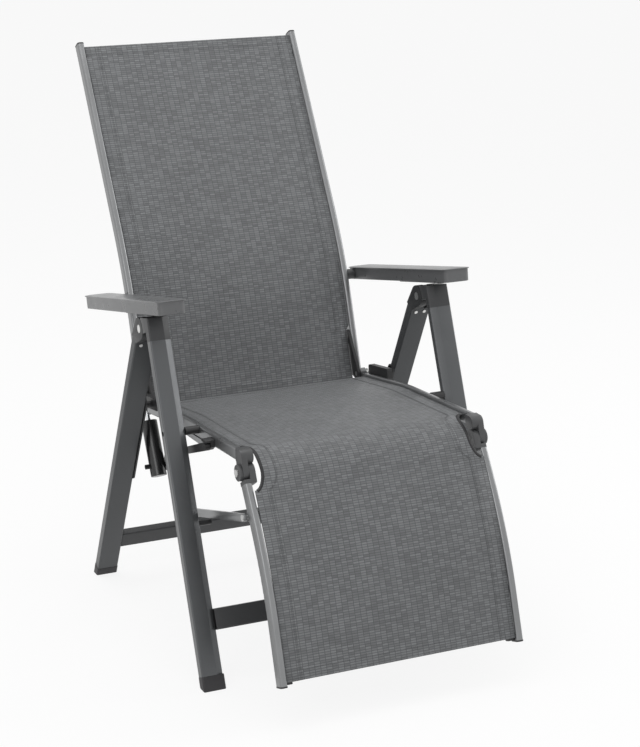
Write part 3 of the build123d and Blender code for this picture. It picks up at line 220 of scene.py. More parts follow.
def woven(name, colour):
    """Sling fabric: staggered coated yarns in rows, flecked, on a UV map in metres."""
    finish = Finish(name, colour, 0.0, 0.35)
    finish.shader.inputs["Sheen Weight"].default_value = 0.08
    finish.shader.inputs["Sheen Roughness"].default_value = 0.5
    place = finish.coordinates((1000, 1000, 1000), uv=True)
    yarn = finish.node("ShaderNodeTexBrick")
    yarn.offset = 0.37
    yarn.offset_frequency = 1
    for key, value in (
        ("Scale", 1.0), ("Mortar Size", YARN_GAP), ("Mortar Smooth", 0.9), ("Bias", 0.0),
        ("Brick Width", YARN_LENGTH), ("Row Height", YARN_HEIGHT),
    ):
        yarn.inputs[key].default_value = value
    yarn.inputs["Color1"].default_value = (0.82, 0.82, 0.82, 1)
    yarn.inputs["Color2"].default_value = (1.28, 1.28, 1.28, 1)
    yarn.inputs["Mortar"].default_value = (0.5, 0.5, 0.5, 1)
    finish.link(place, yarn.inputs["Vector"])
    fleck = finish.noise(finish.coordinates((620, 26, 1), uv=True), 1.0, 2)
    cloud = finish.noise(finish.coordinates((7, 5, 1), uv=True), 1.0, 3)
    warp = finish.node("ShaderNodeTexWave")
    warp.bands_direction = "X"
    warp.inputs["Scale"].default_value = ONE_BAND * WARPS
    finish.link(place, warp.inputs["Vector"])
    light = finish.maths(
        "ADD",
        finish.ramp(fleck, 0.66, 0.8, 0.0, 0.22),
        finish.ramp(cloud, 0.3, 0.7, -0.05, 0.05),
    )
    value = finish.node("ShaderNodeSeparateColor")
    finish.link(yarn.outputs["Color"], value.inputs["Color"])
    finish.shade(finish.maths("ADD", value.outputs["Red"], light))
    height = finish.maths(
        "ADD",
        finish.maths("MULTIPLY", yarn.outputs["Fac"], -1.0),
        finish.maths("MULTIPLY", warp.outputs["Fac"], 0.35),
    )
    finish.relief(height, 0.0005, 0.75)
    return finish.material


def webbing(name, colour):
    """Narrow woven tape and sewing thread."""
    finish = Finish(name, colour, 0.0, 0.3)
    ribs = finish.noise(finish.coordinates((900, 900, 300)), 1.0, 2)
    finish.shade(finish.ramp(ribs, 0.3, 0.7, 0.8, 1.25))
    finish.relief(ribs, 0.0003, 0.6)
    return finish.material


FRAME_PAINT = powder_coat("frame_paint", (0.100, 0.104, 0.108), 0.34, 0.5)
# Rear legs: the frame's powder coat made darker, as painted shade for leg faces that turn away from
# the light
REAR_PAINT_SHADED = powder_coat("rear_leg_paint_painted_shade", (0.066, 0.069, 0.072), 0.38, 0.4)
RAIL_PAINT = powder_coat("rail_paint", (0.24, 0.244, 0.248), 0.3, 0.8)
BAR_PAINT = powder_coat("cross_bar_paint", (0.045, 0.046, 0.048), 0.45, 0.1)
CAP_PLASTIC = moulded("cap_plastic", (0.034, 0.035, 0.036), 0.45, 0.35)
FRONT_CAP_PLASTIC = moulded("front_cap_plastic", (0.045, 0.046, 0.048), 0.42, 0.4)
KNUCKLE_PLASTIC = moulded("knuckle_plastic", (0.060, 0.061, 0.063), 0.44)
BLACK_PLASTIC = moulded("black_plastic", (0.018, 0.018, 0.019), 0.5)
ARM_PLASTIC = moulded("armrest_plastic", (0.105, 0.107, 0.110), 0.30, 0.6, 700)
FOOT_RUBBER = moulded("foot_plastic", (0.028, 0.027, 0.029), 0.55)
GAS_PAINT = powder_coat("gas_spring_paint", (0.012, 0.012, 0.013), 0.22, 0.0, 0.6)
BRACKET_PAINT = powder_coat("bracket_paint", (0.022, 0.022, 0.023), 0.4, 0.1)
CHROME = bare_metal("rod_chrome", (0.75, 0.76, 0.78), 0.14, (1, 1, 14))
ZINC = bare_metal("zinc_plate", (0.68, 0.68, 0.67), 0.3)
CLOTH_GREY = woven("sling_cloth", (0.150, 0.155, 0.160))
TAPE_BLACK = webbing("binding_tape", (0.022, 0.022, 0.023))
THREAD_GREY = webbing("sewing_thread", (0.10, 0.102, 0.105))

CAD_FINISHES = {
    FRAME_PAINT: ("front_leg_left", "front_leg_right"),
    REAR_PAINT_SHADED: ("rear_leg_left", "rear_leg_right"),
    BAR_PAINT: ("front_cross_bar", "rear_cross_bar"),
    RAIL_PAINT: (
        "seat_rail_left", "seat_rail_right", "seat_gusset_left", "seat_gusset_right",
        "back_rail_left", "back_rail_right", "leg_rail_left", "leg_rail_right",
        "seat_front_bar", "seat_rear_bar", "back_top_bar", "back_lower_bar", "leg_rest_bar",
        "stays", "seat_eyes",
    ),
    CAP_PLASTIC: ("rear_cap_left", "rear_cap_right"),
    FRONT_CAP_PLASTIC: ("front_cap_left", "front_cap_right"),
    KNUCKLE_PLASTIC: (
        "seat_knuckle_left", "seat_knuckle_right", "leg_knuckle_left", "leg_knuckle_right",
        "leg_ratchets", "arm_knuckles",
    ),
    BLACK_PLASTIC: (
        "back_end_plugs", "leg_end_plugs", "arm_tracks", "seat_guides", "seat_rests",
        "lever_bracket", "release_lever",
    ),
    ARM_PLASTIC: ("armrest_left", "armrest_right"),
    FOOT_RUBBER: ("front_feet", "rear_feet"),
    GAS_PAINT: ("gas_cylinder",),
    BRACKET_PAINT: (
        "gas_bracket", "recline_bracket", "back_plates", "arm_pivot_pins", "seat_pivot_pins",
        "stay_studs",
    ),
    CHROME: ("gas_rod",),
    ZINC: (
        "leg_hinge_pins", "recline_pins", "rear_cap_screws", "leg_hinge_bolts", "stay_pins",
    ),
    CLOTH_GREY: ("back_sling", "seat_sling", "leg_sling"),
}
for finish, names in CAD_FINISHES.items():
    for name in names:
        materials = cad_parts[name].data.materials
        materials.clear()
        materials.append(finish)


# Meshes

def place_mesh(name, points, faces, finish):
    """A smooth mesh object at the origin, its points given in millimetres."""
    mesh = bpy.data.meshes.new(name)
    mesh.from_pydata([Vector(point) * MM for point in points], [], faces)
    mesh.update()
    made = bpy.data.objects.new(name, mesh)
    bpy.context.scene.collection.objects.link(made)
    mesh.materials.append(finish)
    for polygon in mesh.polygons:
        polygon.use_smooth = True
    return made


def tidy_normals(made, merge=1e-6):
    """Merges doubles and turns every face outwards."""
    mesh = made.data
    shape = bmesh.new()
    shape.from_mesh(mesh)
    bmesh.ops.remove_doubles(shape, verts=shape.verts, dist=merge)
    bmesh.ops.recalc_face_normals(shape, faces=shape.faces)
    shape.to_mesh(mesh)
    shape.free()
    mesh.update()


def plain_mesh(made):
    """Applies every modifier, so that the piece is a plain mesh."""
    bpy.context.view_layer.update()
    evaluated = made.evaluated_get(bpy.context.evaluated_depsgraph_get())
    mesh = bpy.data.meshes.new_from_object(evaluated)
    made.modifiers.clear()
    made.data = mesh
    return made


def smooth_by_angle(made, degrees=32):
    """Sharp edges stay sharp, the rest shades smooth."""
    mesh = made.data
    shape = bmesh.new()
    shape.from_mesh(mesh)
    limit = math.radians(degrees)
    for face in shape.faces:
        face.smooth = True
    for edge in shape.edges:
        edge.smooth = not (edge.is_manifold and edge.calc_face_angle() > limit)
    shape.to_mesh(mesh)
    shape.free()


def eased(node, body, finish, width):
    """A copy of a CAD node with its hard edges eased, which stands for the node."""
    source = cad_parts[node]
    made = bpy.data.objects.new(f"{node}_eased", source.data.copy())
    bpy.context.scene.collection.objects.link(made)
    mesh = made.data
    mesh.materials.clear()
    mesh.materials.append(finish)
    shape = bmesh.new()
    shape.from_mesh(mesh)
    bmesh.ops.remove_doubles(shape, verts=shape.verts, dist=2e-6)
    bmesh.ops.dissolve_limit(
        shape, angle_limit=math.radians(0.6), verts=shape.verts, edges=shape.edges
    )
    shape.to_mesh(mesh)
    shape.free()
    bevel = made.modifiers.new("ease", "BEVEL")
    bevel.width = width * MM
    bevel.segments = EASE_SEGMENTS
    bevel.limit_method = "ANGLE"
    bevel.angle_limit = math.radians(35)
    bevel.use_clamp_overlap = True
    plain_mesh(made)
    smooth_by_angle(made, 38)
    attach(made, body)
    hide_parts(node)


def ring_faces(first, rings, sides):
    """Quads between rings of points that follow one another, from the point first."""
    faces = []
    for ring in range(rings - 1):
        for step in range(sides):
            a = first + ring * sides + step
            b = first + ring * sides + (step + 1) % sides
            faces.append((a, b, b + sides, a + sides))
    return faces


def end_face(first, sides):
    return tuple(first + step for step in range(sides))


def filleted(corners, radii, step):
    """Points (y, z) every step along a polyline with its corners rounded."""
    points, start = [Vector(corners[0])], Vector(corners[0])
    for index, radius in enumerate(radii, 1):
        corner, after = Vector(corners[index]), Vector(corners[index + 1])
        into, out = (corner - start).normalized(), (after - corner).normalized()
        turn = into.angle(out)
        tangent = radius * math.tan(turn / 2)
        first = corner - into * tangent
        side = Vector((-into.y, into.x))
        if side.dot(out) < 0:
            side = -side
        centre = first + side * radius
        points.append(first)
        pieces = max(2, int(radius * turn / step))
        for piece in range(1, pieces + 1):
            angle = turn * piece / pieces
            points.append(centre - side * radius * math.cos(angle) + into * radius * math.sin(angle))
        start = points[-1]
    points.append(Vector(corners[-1]))
    return points


class Run:
    """A line in the side view, read by its length from the start, in millimetres."""

    def __init__(self, points):
        self.points = points
        self.marks = [0.0]
        for first, second in zip(points, points[1:]):
            self.marks.append(self.marks[-1] + (second - first).length)
        self.length = self.marks[-1]

    def at(self, distance):
        """Point and direction (y, z) at a distance."""
        distance = min(max(distance, 0.0), self.length)
        index = 0
        while index < len(self.marks) - 2 and self.marks[index + 1] < distance:
            index += 1
        share = (distance - self.marks[index]) / (self.marks[index + 1] - self.marks[index])
        point = self.points[index].lerp(self.points[index + 1], share)
        before = self.direction(index - 1 if share < 0.5 else index)
        after = self.direction(index if share < 0.5 else index + 1)
        weight = share + 0.5 if share < 0.5 else share - 0.5
        along = before.lerp(after, weight).normalized()
        return point, along

    def direction(self, index):
        index = min(max(index, 0), len(self.points) - 2)
        return (self.points[index + 1] - self.points[index]).normalized()

    def nearest(self, target):
        """The distance along the run of the point nearest to a target."""
        target = Vector(target)
        steps = range(int(self.length) + 1)
        return float(min(steps, key=lambda mark: (self.at(mark)[0] - target).length))


def unit(first, second):
    return (Vector(second) - Vector(first)).normalized()


def left_of(along):
    """A quarter turn to the left, which is the sitter's side of a line up the back."""
    return Vector((-along.y, along.x))


def right_of(along):
    """A quarter turn to the right, which is the sitter's side of a line down the leg rest."""
    return Vector((along.y, -along.x))


def upper_side(along):
    """The normal of a line, on the side that looks up."""
    normal = left_of(along)
    return -normal if normal.y < 0 else normal


back_low, back_high = unit(BACK_FOOT, BACK_BEND), unit(BACK_BEND, BACK_HEAD)
back_run = Run(
    filleted(
        [
            Vector(BACK_FOOT) - back_low * BACK_DROP + left_of(back_low) * BACK_STAND,
            Vector(BACK_BEND) + (left_of(back_low) + left_of(back_high)) * BACK_STAND / 2,
            Vector(BACK_HEAD) + left_of(back_high) * BACK_STAND - back_high * BACK_HEAD_INSET,
        ],
        [BACK_BEND_RADIUS],
        BACK_LINE_STEP,
    )
)
leg_down, leg_low = unit(LEG_HINGE, LEG_BEND), unit(LEG_BEND, LEG_END)
seat_front_way = unit(SEAT_BEND, SEAT_FRONT)
leg_first = Vector(LEG_HINGE) + leg_down * LEG_START + right_of(leg_down) * LEG_START_STAND
rise = Vector((0, SLING_RISE))


def crossing(first, first_way, second, second_way):
    """Where two lines of the side view cross."""
    gap = Vector(second) - Vector(first)
    area = first_way.x * second_way.y - first_way.y * second_way.x
    return Vector(first) + first_way * ((gap.x * second_way.y - gap.y * second_way.x) / area)


seat_end = Vector(SEAT_FRONT) + rise
knee = crossing(seat_end, seat_front_way, leg_first, leg_down)
seat_run = Run(
    filleted(
        [
            Vector(SEAT_REAR) + rise,
            Vector(SEAT_BEND) + rise,
            knee,
            Vector(LEG_BEND) + (right_of(leg_down) + right_of(leg_low)) * LEG_END_STAND / 2,
            Vector(LEG_END) - leg_low * LEG_END_INSET + right_of(leg_low) * LEG_END_STAND,
        ],
        [SEAT_BEND_RADIUS, KNEE_RADIUS, LEG_BEND_RADIUS],
        SEAT_LINE_STEP,
    )
)
NOTCH_FROM = seat_run.nearest(seat_end)
NOTCH_TO = seat_run.nearest(Vector(LEG_HINGE) + right_of(leg_down) * LEG_START_STAND)
KNEE_AT = seat_run.nearest(knee)


def notch_depth(mark):
    """How far the cut-out beside the knuckle reaches in from the cloth's edge."""
    if mark < NOTCH_FROM:
        share = (NOTCH_FROM - mark) / NOTCH_SEAT
    elif mark > NOTCH_TO:
        share = (mark - NOTCH_TO) / NOTCH_LEG
    else:
        share = 0.0
    return NOTCH_WIDTH * math.sqrt(max(0.0, 1.0 - share * share))


def seat_half_width(mark):
    """Half the width of the seat and leg cloth, the same at every mark."""
    return RAIL_OUTER - RAIL_WIDTH - SLING_GAP


def back_half_width(mark):
    """Half the width of the back cloth, narrower beside the plates at its foot."""
    return RAIL_OUTER - RAIL_WIDTH - SLING_GAP - (PLATE_ROOM if mark < PLATE_LENGTH else 0.0)


def edge_at(mark, half_width, notch):
    """How far from the middle a cloth reaches at a mark, less its cut-out where it has one."""
    return half_width(mark) - (notch(mark) if notch else 0.0)


def ripple(x, mark, seed):
    """Slight unevenness of stretched cloth, in millimetres."""
    swell = SWELL * math.sin(x / SWELL_ACROSS + seed) * math.sin(mark / SWELL_ALONG + 2 * seed)
    wrinkle = WRINKLE * math.sin(x / WRINKLE_ACROSS + mark / WRINKLE_ALONG + 3 * seed)
    return swell + wrinkle


def marks_between(start, end, step, extra=()):
    """Marks from start to end, close to step apart, with the extra ones among them."""
    count = max(1, round((end - start) / step))
    marks = {round(start + (end - start) * index / count, 4) for index in range(count + 1)}
    marks |= {round(mark, 4) for mark in extra if start < mark < end}
    return sorted(marks)


def cloth_sheet(name, run, start, end, half_width, notch, hems, seed, step):
    """A stretched cloth along a run: closed, with thicker side bands and hems, UV in metres."""
    hem_marks = []
    for at, sign in hems:
        hem_marks += [at + sign * 1.0, at + sign * HEM_WIDTH, at + sign * (HEM_WIDTH + 0.8)]
    fine = []
    if notch:
        low, high = NOTCH_FROM - NOTCH_SEAT, NOTCH_TO + NOTCH_LEG
        fine = [low + value for value in NOTCH_END_MARKS]
        fine += [high - value for value in NOTCH_END_MARKS]
        fine += [low, high, NOTCH_FROM, NOTCH_TO]
    marks = marks_between(start, end, step, hem_marks + fine)
    inner = [value / 9 for value in range(-9, 10)]
    points, uvs, rows = [], [], []
    for mark in marks:
        outer = edge_at(mark, half_width, notch)
        band = min(BAND_WIDTH, outer / 3)
        place, along = run.at(mark)
        normal = upper_side(along)
        near_hem = any(0 <= (mark - at) * sign <= HEM_WIDTH + 0.01 for at, sign in hems)
        lines = [-outer, -outer + 0.6, -outer + band, -outer + band + 0.8]
        lines += [value * (outer - band - 0.8) for value in inner[1:-1]]
        lines += [outer - band - 0.8, outer - band, outer - 0.6, outer]
        row = []
        for index, x in enumerate(lines):
            banded = index in (1, 2, len(lines) - 3, len(lines) - 2)
            edge = index in (0, len(lines) - 1) or mark in (marks[0], marks[-1])
            thick = CLOTH_BAND if banded or near_hem else CLOTH
            if index in (0, len(lines) - 1):
                thick *= 0.45
            sway = 0.0 if edge else ripple(x, mark, seed)
            for sign in (1, -1):
                offset = sway + sign * thick / 2
                points.append((x, place.x + normal.x * offset, place.y + normal.y * offset))
                uvs.append((x * MM, mark * MM))
            row.append(len(points) - 2)
        rows.append(row)
    faces = []
    for first, second in zip(rows, rows[1:]):
        for a, b, c, d in zip(first, first[1:], second[1:], second):
            faces.append((a, b, c, d))
            faces.append((a + 1, d + 1, c + 1, b + 1))
        for left, right in ((first[0], second[0]), (second[-1], first[-1])):
            faces.append((left, right, right + 1, left + 1))
    for row, turn in ((rows[0], False), (rows[-1], True)):
        for a, b in zip(row, row[1:]):
            faces.append((b, a, a + 1, b + 1) if not turn else (a, b, b + 1, a + 1))
    made = place_mesh(name, points, faces, CLOTH_GREY)
    layer = made.data.uv_layers.new(name="UVMap")
    for loop in made.data.loops:
        layer.data[loop.index].uv = uvs[loop.vertex_index]
    tidy_normals(made, 1e-7)
    smooth_by_angle(made, 50)
    return made


def sheet_area(start, end, half_width, notch, parts=400):
    """The area of a cloth in square metres, added up in strips."""
    total = 0.0
    for index in range(parts):
        mark = start + (end - start) * (index + 0.5) / parts
        total += 2 * edge_at(mark, half_width, notch) * (end - start) / parts
    return total * MM * MM


# Stitches: one small thread at each step along a seam

def stitch_tree():
    """Puts a short thread along every seam line, at a named step."""
    tree = bpy.data.node_groups.new("seam_stitches", "GeometryNodeTree")
    face = tree.interface
    face.new_socket("Geometry", in_out="INPUT", socket_type="NodeSocketGeometry")
    for label, value in (
        ("Step", STITCH_STEP * MM),
        ("Thread length", STITCH_LONG * MM),
        ("Thread radius", STITCH_RADIUS * MM),
    ):
        face.new_socket(label, in_out="INPUT", socket_type="NodeSocketFloat").default_value = value
    face.new_socket("Thread", in_out="INPUT", socket_type="NodeSocketMaterial")
    face.new_socket("Geometry", in_out="OUTPUT", socket_type="NodeSocketGeometry")
    add, join = tree.nodes.new, tree.links.new
    given, result = add("NodeGroupInput"), add("NodeGroupOutput")
    curve, points = add("GeometryNodeMeshToCurve"), add("GeometryNodeCurveToPoints")
    points.mode = "LENGTH"
    thread, instance = add("GeometryNodeMeshCylinder"), add("GeometryNodeInstanceOnPoints")
    thread.inputs["Vertices"].default_value = 6
    realise, paint = add("GeometryNodeRealizeInstances"), add("GeometryNodeSetMaterial")
    join(given.outputs["Geometry"], curve.inputs["Mesh"])
    join(curve.outputs["Curve"], points.inputs["Curve"])
    join(given.outputs["Step"], points.inputs["Length"])
    join(given.outputs["Thread radius"], thread.inputs["Radius"])
    join(given.outputs["Thread length"], thread.inputs["Depth"])
    join(points.outputs["Points"], instance.inputs["Points"])
    turn = add("FunctionNodeAlignRotationToVector")
    turn.axis = "Z"
    join(points.outputs["Tangent"], turn.inputs["Vector"])
    join(turn.outputs["Rotation"], instance.inputs["Rotation"])
    join(thread.outputs["Mesh"], instance.inputs["Instance"])
    join(instance.outputs["Instances"], realise.inputs["Geometry"])
    join(realise.outputs["Geometry"], paint.inputs["Geometry"])
    join(given.outputs["Thread"], paint.inputs["Material"])
    join(paint.outputs["Geometry"], result.inputs["Geometry"])
    return tree


STITCHES = stitch_tree()


def seam(name, lines):
    """Stitches along lines of points in millimetres, as one plain mesh."""
    points, edges = [], []
    for line in lines:
        first = len(points)
        points += [Vector(point) * MM for point in line]
        edges += [(first + index, first + index + 1) for index in range(len(line) - 1)]
    mesh = bpy.data.meshes.new(name)
    mesh.from_pydata(points, edges, [])
    made = bpy.data.objects.new(name, mesh)
    bpy.context.scene.collection.objects.link(made)
    nodes = made.modifiers.new("stitches", "NODES")
    nodes.node_group = STITCHES
    for item in STITCHES.interface.items_tree:
        if item.in_out == "INPUT" and item.name == "Thread":
            nodes[item.identifier] = THREAD_GREY
    plain_mesh(made)
    return made


def on_cloth(run, x, mark, seed):
    """A point on the face of a cloth, in millimetres."""
    place, along = run.at(mark)
    normal = upper_side(along)
    offset = CLOTH_BAND / 2 + SEAM_LIFT + ripple(x, mark, seed)
    return (x, place.x + normal.x * offset, place.y + normal.y * offset)


def seam_lines(run, start, end, half_width, notch, seed):
    """Two rows of stitches along each side of a cloth."""
    lines = []
    for side in (-1, 1):
        for inset in SEAM_INSETS:
            line = []
            for mark in marks_between(start, end, SEAM_STEP):
                outer = edge_at(mark, half_width, notch)
                line.append(on_cloth(run, side * (outer - inset), mark, seed))
            lines.append(line)
    return lines


def cross_seam(run, mark, half_width, seed):
    """One row of stitches across a cloth, along its hem."""
    width = half_width(mark) - 2
    count = 60
    return [
        on_cloth(run, -width + 2 * width * index / count, mark, seed)
        for index in range(count + 1)
    ]


# Back cloth
back_cloth = cloth_sheet(
    "back_cloth", back_run, 0.0, back_run.length, back_half_width, None,
    [(0.0, 1), (back_run.length, -1)], BACK_SEED, 9.0,
)
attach(back_cloth, "back")
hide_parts("back_sling")
back_seams = seam(
    "back_cloth_seams",
    seam_lines(back_run, SEAM_ENDS, back_run.length - SEAM_ENDS, back_half_width, None, BACK_SEED)
    + [
        cross_seam(back_run, HEM_WIDTH - HEM_STITCH, back_half_width, BACK_SEED),
        cross_seam(back_run, back_run.length - HEM_WIDTH + HEM_STITCH, back_half_width, BACK_SEED),
    ],
)
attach(back_seams, "back")

# Seat and leg cloth: one fabric, made as two sheets that meet at the knee
seat_cloth = cloth_sheet(
    "seat_cloth", seat_run, 0.0, KNEE_AT, seat_half_width, notch_depth, [(0.0, 1)], SEAT_SEED, 4.0
)
leg_cloth = cloth_sheet(
    "leg_cloth", seat_run, KNEE_AT, seat_run.length, seat_half_width, notch_depth,
    [(seat_run.length, -1)], SEAT_SEED, 4.0,
)
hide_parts("seat_sling")
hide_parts("leg_sling")
seat_seams = seam(
    "seat_cloth_seams",
    seam_lines(seat_run, SEAM_ENDS, KNEE_AT, seat_half_width, notch_depth, SEAT_SEED)
    + [cross_seam(seat_run, HEM_WIDTH - HEM_STITCH, seat_half_width, SEAT_SEED)],
)
leg_seams = seam(
    "leg_cloth_seams",
    seam_lines(
        seat_run, KNEE_AT, seat_run.length - SEAM_ENDS, seat_half_width, notch_depth, SEAT_SEED
    )
    + [cross_seam(seat_run, seat_run.length - HEM_WIDTH + HEM_STITCH, seat_half_width, SEAT_SEED)],
)


def binding(name, start, end):
    """Black tape folded over the edge of each cut-out, as a flat rounded strip."""
    points, faces = [], []
    for side in (-1, 1):
        first = len(points)
        for row in range(BINDING_ROWS):
            mark = start + (end - start) * row / (BINDING_ROWS - 1)
            edge, ahead, behind = (
                edge_at(at, seat_half_width, notch_depth) for at in (mark, mark + 0.5, mark - 0.5)
            )
            slope = max(-2.5, min(2.5, ahead - behind))
            across = Vector((1.0, -slope)).normalized()
            place, along = seat_run.at(mark)
            normal = upper_side(along)
            for step in range(BINDING_SIDES):
                angle = 2 * math.pi * step / BINDING_SIDES
                reach = (math.cos(angle) - 0.72) * BINDING_WIDTH / 2
                lift = math.sin(angle) * BINDING_THICK / 2
                x = side * (edge + reach * across.x)
                shift = reach * across.y
                points.append(
                    (
                        x,
                        place.x + along.x * shift + normal.x * lift,
                        place.y + along.y * shift + normal.y * lift,
                    )
                )
        faces += ring_faces(first, BINDING_ROWS, BINDING_SIDES)
        faces.append(end_face(first, BINDING_SIDES))
        faces.append(end_face(first + (BINDING_ROWS - 1) * BINDING_SIDES, BINDING_SIDES))
    made = place_mesh(name, points, faces, TAPE_BLACK)
    tidy_normals(made)
    return made


seat_binding = binding("seat_cloth_binding", NOTCH_FROM - NOTCH_SEAT + 0.6, KNEE_AT)
leg_binding = binding("leg_cloth_binding", KNEE_AT, NOTCH_TO + NOTCH_LEG - 0.6)


for piece in (seat_cloth, seat_seams, seat_binding):
    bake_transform(piece)
for piece in (leg_cloth, leg_seams, leg_binding):
    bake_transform(piece)

sheet_area(0.0, back_run.length, back_half_width, None)
sheet_area(0.0, KNEE_AT, seat_half_width, notch_depth)
sheet_area(KNEE_AT, seat_run.length, seat_half_width, notch_depth)


# Armrests: a crowned top with a thin lip over drafted walls, open below

def rounded_outline(half_width, half_length, corner, parts=7):
    """Points (across, along) round a rectangle with rounded corners."""
    outline = []
    for quarter, (sx, sy) in enumerate(((1, 1), (-1, 1), (-1, -1), (1, -1))):
        for part in range(parts + 1):
            angle = math.pi / 2 * (quarter + part / parts)
            outline.append(
                (
                    sx * (half_width - corner) + corner * math.cos(angle),
                    sy * (half_length - corner) + corner * math.sin(angle),
                )
            )
    return outline


def armrest(side_name, side):
    """One armrest: rings of (inset, height) round its outside, then round its hollow."""
    slope = math.radians(ARM_SLOPE)
    ahead = Vector((0, -math.cos(slope), math.sin(slope)))
    up = Vector((0, math.sin(slope), math.cos(slope)))
    centre = Vector((0, *ARM_PIVOT)) + ahead * (ARM_FRONT - ARM_REAR) / 2
    centre.x = side * (ARM_INNER + ARM_WIDTH / 2)
    half_width, half_length = ARM_WIDTH / 2, (ARM_FRONT + ARM_REAR) / 2
    body = ARM_OVERHANG
    rings = [
        (body + ARM_WALL, -ARM_FALL + 6), (body + ARM_WALL - 0.2, -ARM_FALL + 0.6),
        (body + ARM_WALL - 0.8, -ARM_FALL), (body + 1.3, -ARM_FALL), (body + 0.5, -ARM_FALL + 0.7),
        (body, 4.0), (body - 0.1, ARM_RISE - ARM_LIP - 1.2), (body - 0.6, ARM_RISE - ARM_LIP - 0.3),
        (body - 1.4, ARM_RISE - ARM_LIP), (0.5, ARM_RISE - ARM_LIP + 0.1),
        (0.0, ARM_RISE - ARM_LIP + 0.7), (0.0, ARM_RISE - ARM_CROWN - 0.9),
        (0.35, ARM_RISE - ARM_CROWN - 0.35), (1.2, ARM_RISE - ARM_CROWN),
        (4.0, ARM_RISE - ARM_CROWN + 0.45), (9.0, ARM_RISE - ARM_CROWN + 0.95),
        (15.0, ARM_RISE - ARM_CROWN + 1.35), (22.0, ARM_RISE - 0.08), (28.5, ARM_RISE),
    ]
    inner = [
        (body + ARM_WALL, -ARM_FALL + 6), (body + ARM_WALL + 0.3, ARM_RISE - 6.5),
        (body + ARM_WALL + 2.0, ARM_RISE - 5.2), (22.0, ARM_RISE - 5.0), (28.5, ARM_RISE - 5.0),
    ]
    points, faces = [], []
    for stack in (rings, inner):
        first = len(points)
        for inset, height in stack:
            corner = max(ARM_CORNER - inset, LEAST_CORNER)
            for across, along in rounded_outline(half_width - inset, half_length - inset, corner):
                points.append(centre + Vector((across, 0, 0)) + ahead * along + up * height)
        sides = (len(points) - first) // len(stack)
        faces += ring_faces(first, len(stack), sides)
        faces.append(end_face(first + (len(stack) - 1) * sides, sides))
    made = place_mesh(f"armrest_{side_name}_shell", points, faces, ARM_PLASTIC)
    tidy_normals(made, 2e-5)
    smooth_by_angle(made, 40)
    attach(made, "armrests")
    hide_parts(f"armrest_{side_name}")


for side_name, side in SIDES:
    armrest(side_name, side)


# Hard pieces with eased edges: in pairs, then single ones
EASED_PAIRS = (
    ("front_leg", "front_frame", FRAME_PAINT, 0.8, "frame"),
    ("front_cap", "front_frame", FRONT_CAP_PLASTIC, 0.9, "plastic"),
    ("rear_leg", "rear_frame", REAR_PAINT_SHADED, 0.8, "frame"),
    ("rear_cap", "rear_frame", CAP_PLASTIC, 0.9, "plastic"),
    ("seat_knuckle", "seat", KNUCKLE_PLASTIC, 1.2, "plastic"),
    ("leg_knuckle", "leg_rest", KNUCKLE_PLASTIC, 1.2, "plastic"),
    ("seat_gusset", "seat", RAIL_PAINT, 0.8, "frame"),
)
EASED_SINGLES = (
    ("front_feet", "front_frame", FOOT_RUBBER, 1.2, "plastic"),
    ("rear_feet", "rear_frame", FOOT_RUBBER, 1.2, "plastic"),
    ("front_cross_bar", "front_frame", BAR_PAINT, 0.8, "frame"),
    ("rear_cross_bar", "rear_frame", BAR_PAINT, 0.8, "frame"),
    ("arm_tracks", "armrests", BLACK_PLASTIC, 0.7, "plastic"),
    ("leg_ratchets", "leg_ratchets", KNUCKLE_PLASTIC, 1.4, "plastic"),
    ("leg_end_plugs", "leg_rest", BLACK_PLASTIC, 0.9, "plastic"),
    ("back_end_plugs", "back", BLACK_PLASTIC, 0.8, "plastic"),
    ("lever_bracket", "seat", BLACK_PLASTIC, 1.0, "plastic"),
    ("release_lever", "lever", BLACK_PLASTIC, 1.6, "plastic"),
    ("gas_bracket", "seat", BRACKET_PAINT, 0.6, "black_steel"),
    ("stays", "stays", RAIL_PAINT, 1.2, "frame"),
)
for stem, body, finish, width, slot in EASED_PAIRS:
    for side_name, side in SIDES:
        eased(f"{stem}_{side_name}", body, finish, width)
for node, body, finish, width, slot in EASED_SINGLES:
    eased(node, body, finish, width)


# Light, floor and camera

def area_light(name, place, target, size, power):
    data = bpy.data.lights.new(name, "AREA")
    data.shape = "RECTANGLE"
    data.size, data.size_y = size
    data.energy = power
    made = bpy.data.objects.new(name, data)
    made.location = place
    made.rotation_euler = (Vector(target) - Vector(place)).to_track_quat("-Z", "Y").to_euler()
    bpy.context.scene.collection.objects.link(made)


area_light("overhead", (-0.4, 0.4, 3.4), (0, 0, 0.4), (2.6, 2.6), 42)
area_light("front_left", (-2.6, -2.4, 2.1), (0, 0, 0.55), (1.4, 2.0), 18)
area_light("right_side", (2.8, -0.6, 1.7), (0, 0, 0.6), (1.2, 2.2), 26)


def plain_to_see(nodes, links, path):
    """One for camera, glossy and transmission rays, nought for the rest."""
    total = path.outputs["Is Camera Ray"]
    for label in ("Is Glossy Ray", "Is Transmission Ray"):
        either = nodes.new("ShaderNodeMath")
        either.operation = "MAXIMUM"
        links.new(total, either.inputs[0])
        links.new(path.outputs[label], either.inputs[1])
        total = either.outputs["Value"]
    return total


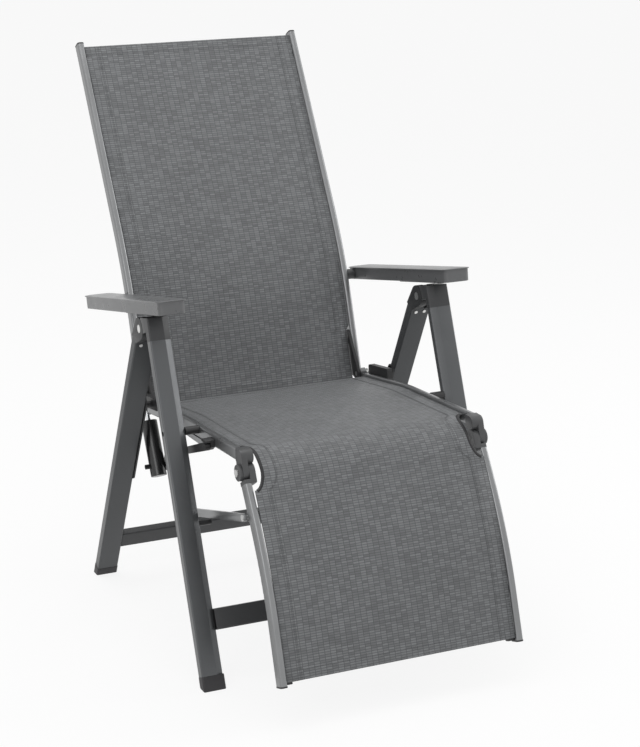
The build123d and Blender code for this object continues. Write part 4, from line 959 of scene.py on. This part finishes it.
world = bpy.data.worlds.new("studio")
bpy.context.scene.world = world
world.use_nodes = True
nodes, links = world.node_tree.nodes, world.node_tree.links
nodes.clear()
seen = nodes.new("ShaderNodeLightPath")
seen_white = plain_to_see(nodes, links, seen)
room_light, room_seen = nodes.new("ShaderNodeBackground"), nodes.new("ShaderNodeBackground")
room_light.inputs["Color"].default_value = (1, 1, 1, 1)
room_light.inputs["Strength"].default_value = ROOM_STRENGTH
room_seen.inputs["Color"].default_value = (1, 1, 1, 1)
room_seen.inputs["Strength"].default_value = 1.0
room_mix, room_out = nodes.new("ShaderNodeMixShader"), nodes.new("ShaderNodeOutputWorld")
links.new(seen_white, room_mix.inputs["Fac"])
links.new(room_light.outputs["Background"], room_mix.inputs[1])
links.new(room_seen.outputs["Background"], room_mix.inputs[2])
links.new(room_mix.outputs["Shader"], room_out.inputs["Surface"])


def studio_floor():
    mesh = bpy.data.meshes.new("floor")
    corners = [(x * FLOOR_REACH, y * FLOOR_REACH, 0) for x, y in ((-1, -1), (1, -1), (1, 1), (-1, 1))]
    mesh.from_pydata(corners, [], [(0, 1, 2, 3)])
    made = bpy.data.objects.new("floor", mesh)
    bpy.context.scene.collection.objects.link(made)
    material = bpy.data.materials.new("floor_white")
    material.use_nodes = True
    tree = material.node_tree
    shader = tree.nodes["Principled BSDF"]
    shader.inputs["Base Color"].default_value = (0.9, 0.9, 0.9, 1)
    shader.inputs["Roughness"].default_value = 0.9
    shader.inputs["Specular IOR Level"].default_value = 0.1
    glow, mix = tree.nodes.new("ShaderNodeEmission"), tree.nodes.new("ShaderNodeMixShader")
    path, share = tree.nodes.new("ShaderNodeLightPath"), tree.nodes.new("ShaderNodeMath")
    share.operation = "MULTIPLY"
    share.inputs[1].default_value = FLOOR_WHITE
    tree.links.new(plain_to_see(tree.nodes, tree.links, path), share.inputs[0])
    tree.links.new(share.outputs["Value"], mix.inputs["Fac"])
    tree.links.new(shader.outputs["BSDF"], mix.inputs[1])
    tree.links.new(glow.outputs["Emission"], mix.inputs[2])
    tree.links.new(mix.outputs["Shader"], tree.nodes["Material Output"].inputs["Surface"])
    mesh.materials.append(material)


studio_floor()

turn, fall = math.radians(VIEW_TURN), math.radians(VIEW_FALL)
look = Vector((math.sin(turn) * math.cos(fall), math.cos(turn) * math.cos(fall), -math.sin(fall)))
lens = bpy.data.cameras.new("camera")
lens.sensor_fit = "VERTICAL"
lens.sensor_height = 24.0
lens.lens = FOCAL_HEIGHTS * lens.sensor_height
lens.clip_end = 60.0
camera = bpy.data.objects.new("camera", lens)
camera.rotation_mode = "QUATERNION"
camera.rotation_quaternion = (
    look.to_track_quat("-Z", "Y").to_matrix() @ Matrix.Rotation(math.radians(-VIEW_ROLL), 3, "Z")
).to_quaternion()
camera.location = EYE
bpy.context.scene.collection.objects.link(camera)
bpy.context.scene.camera = camera
bpy.context.scene.view_settings.view_transform = "Standard"
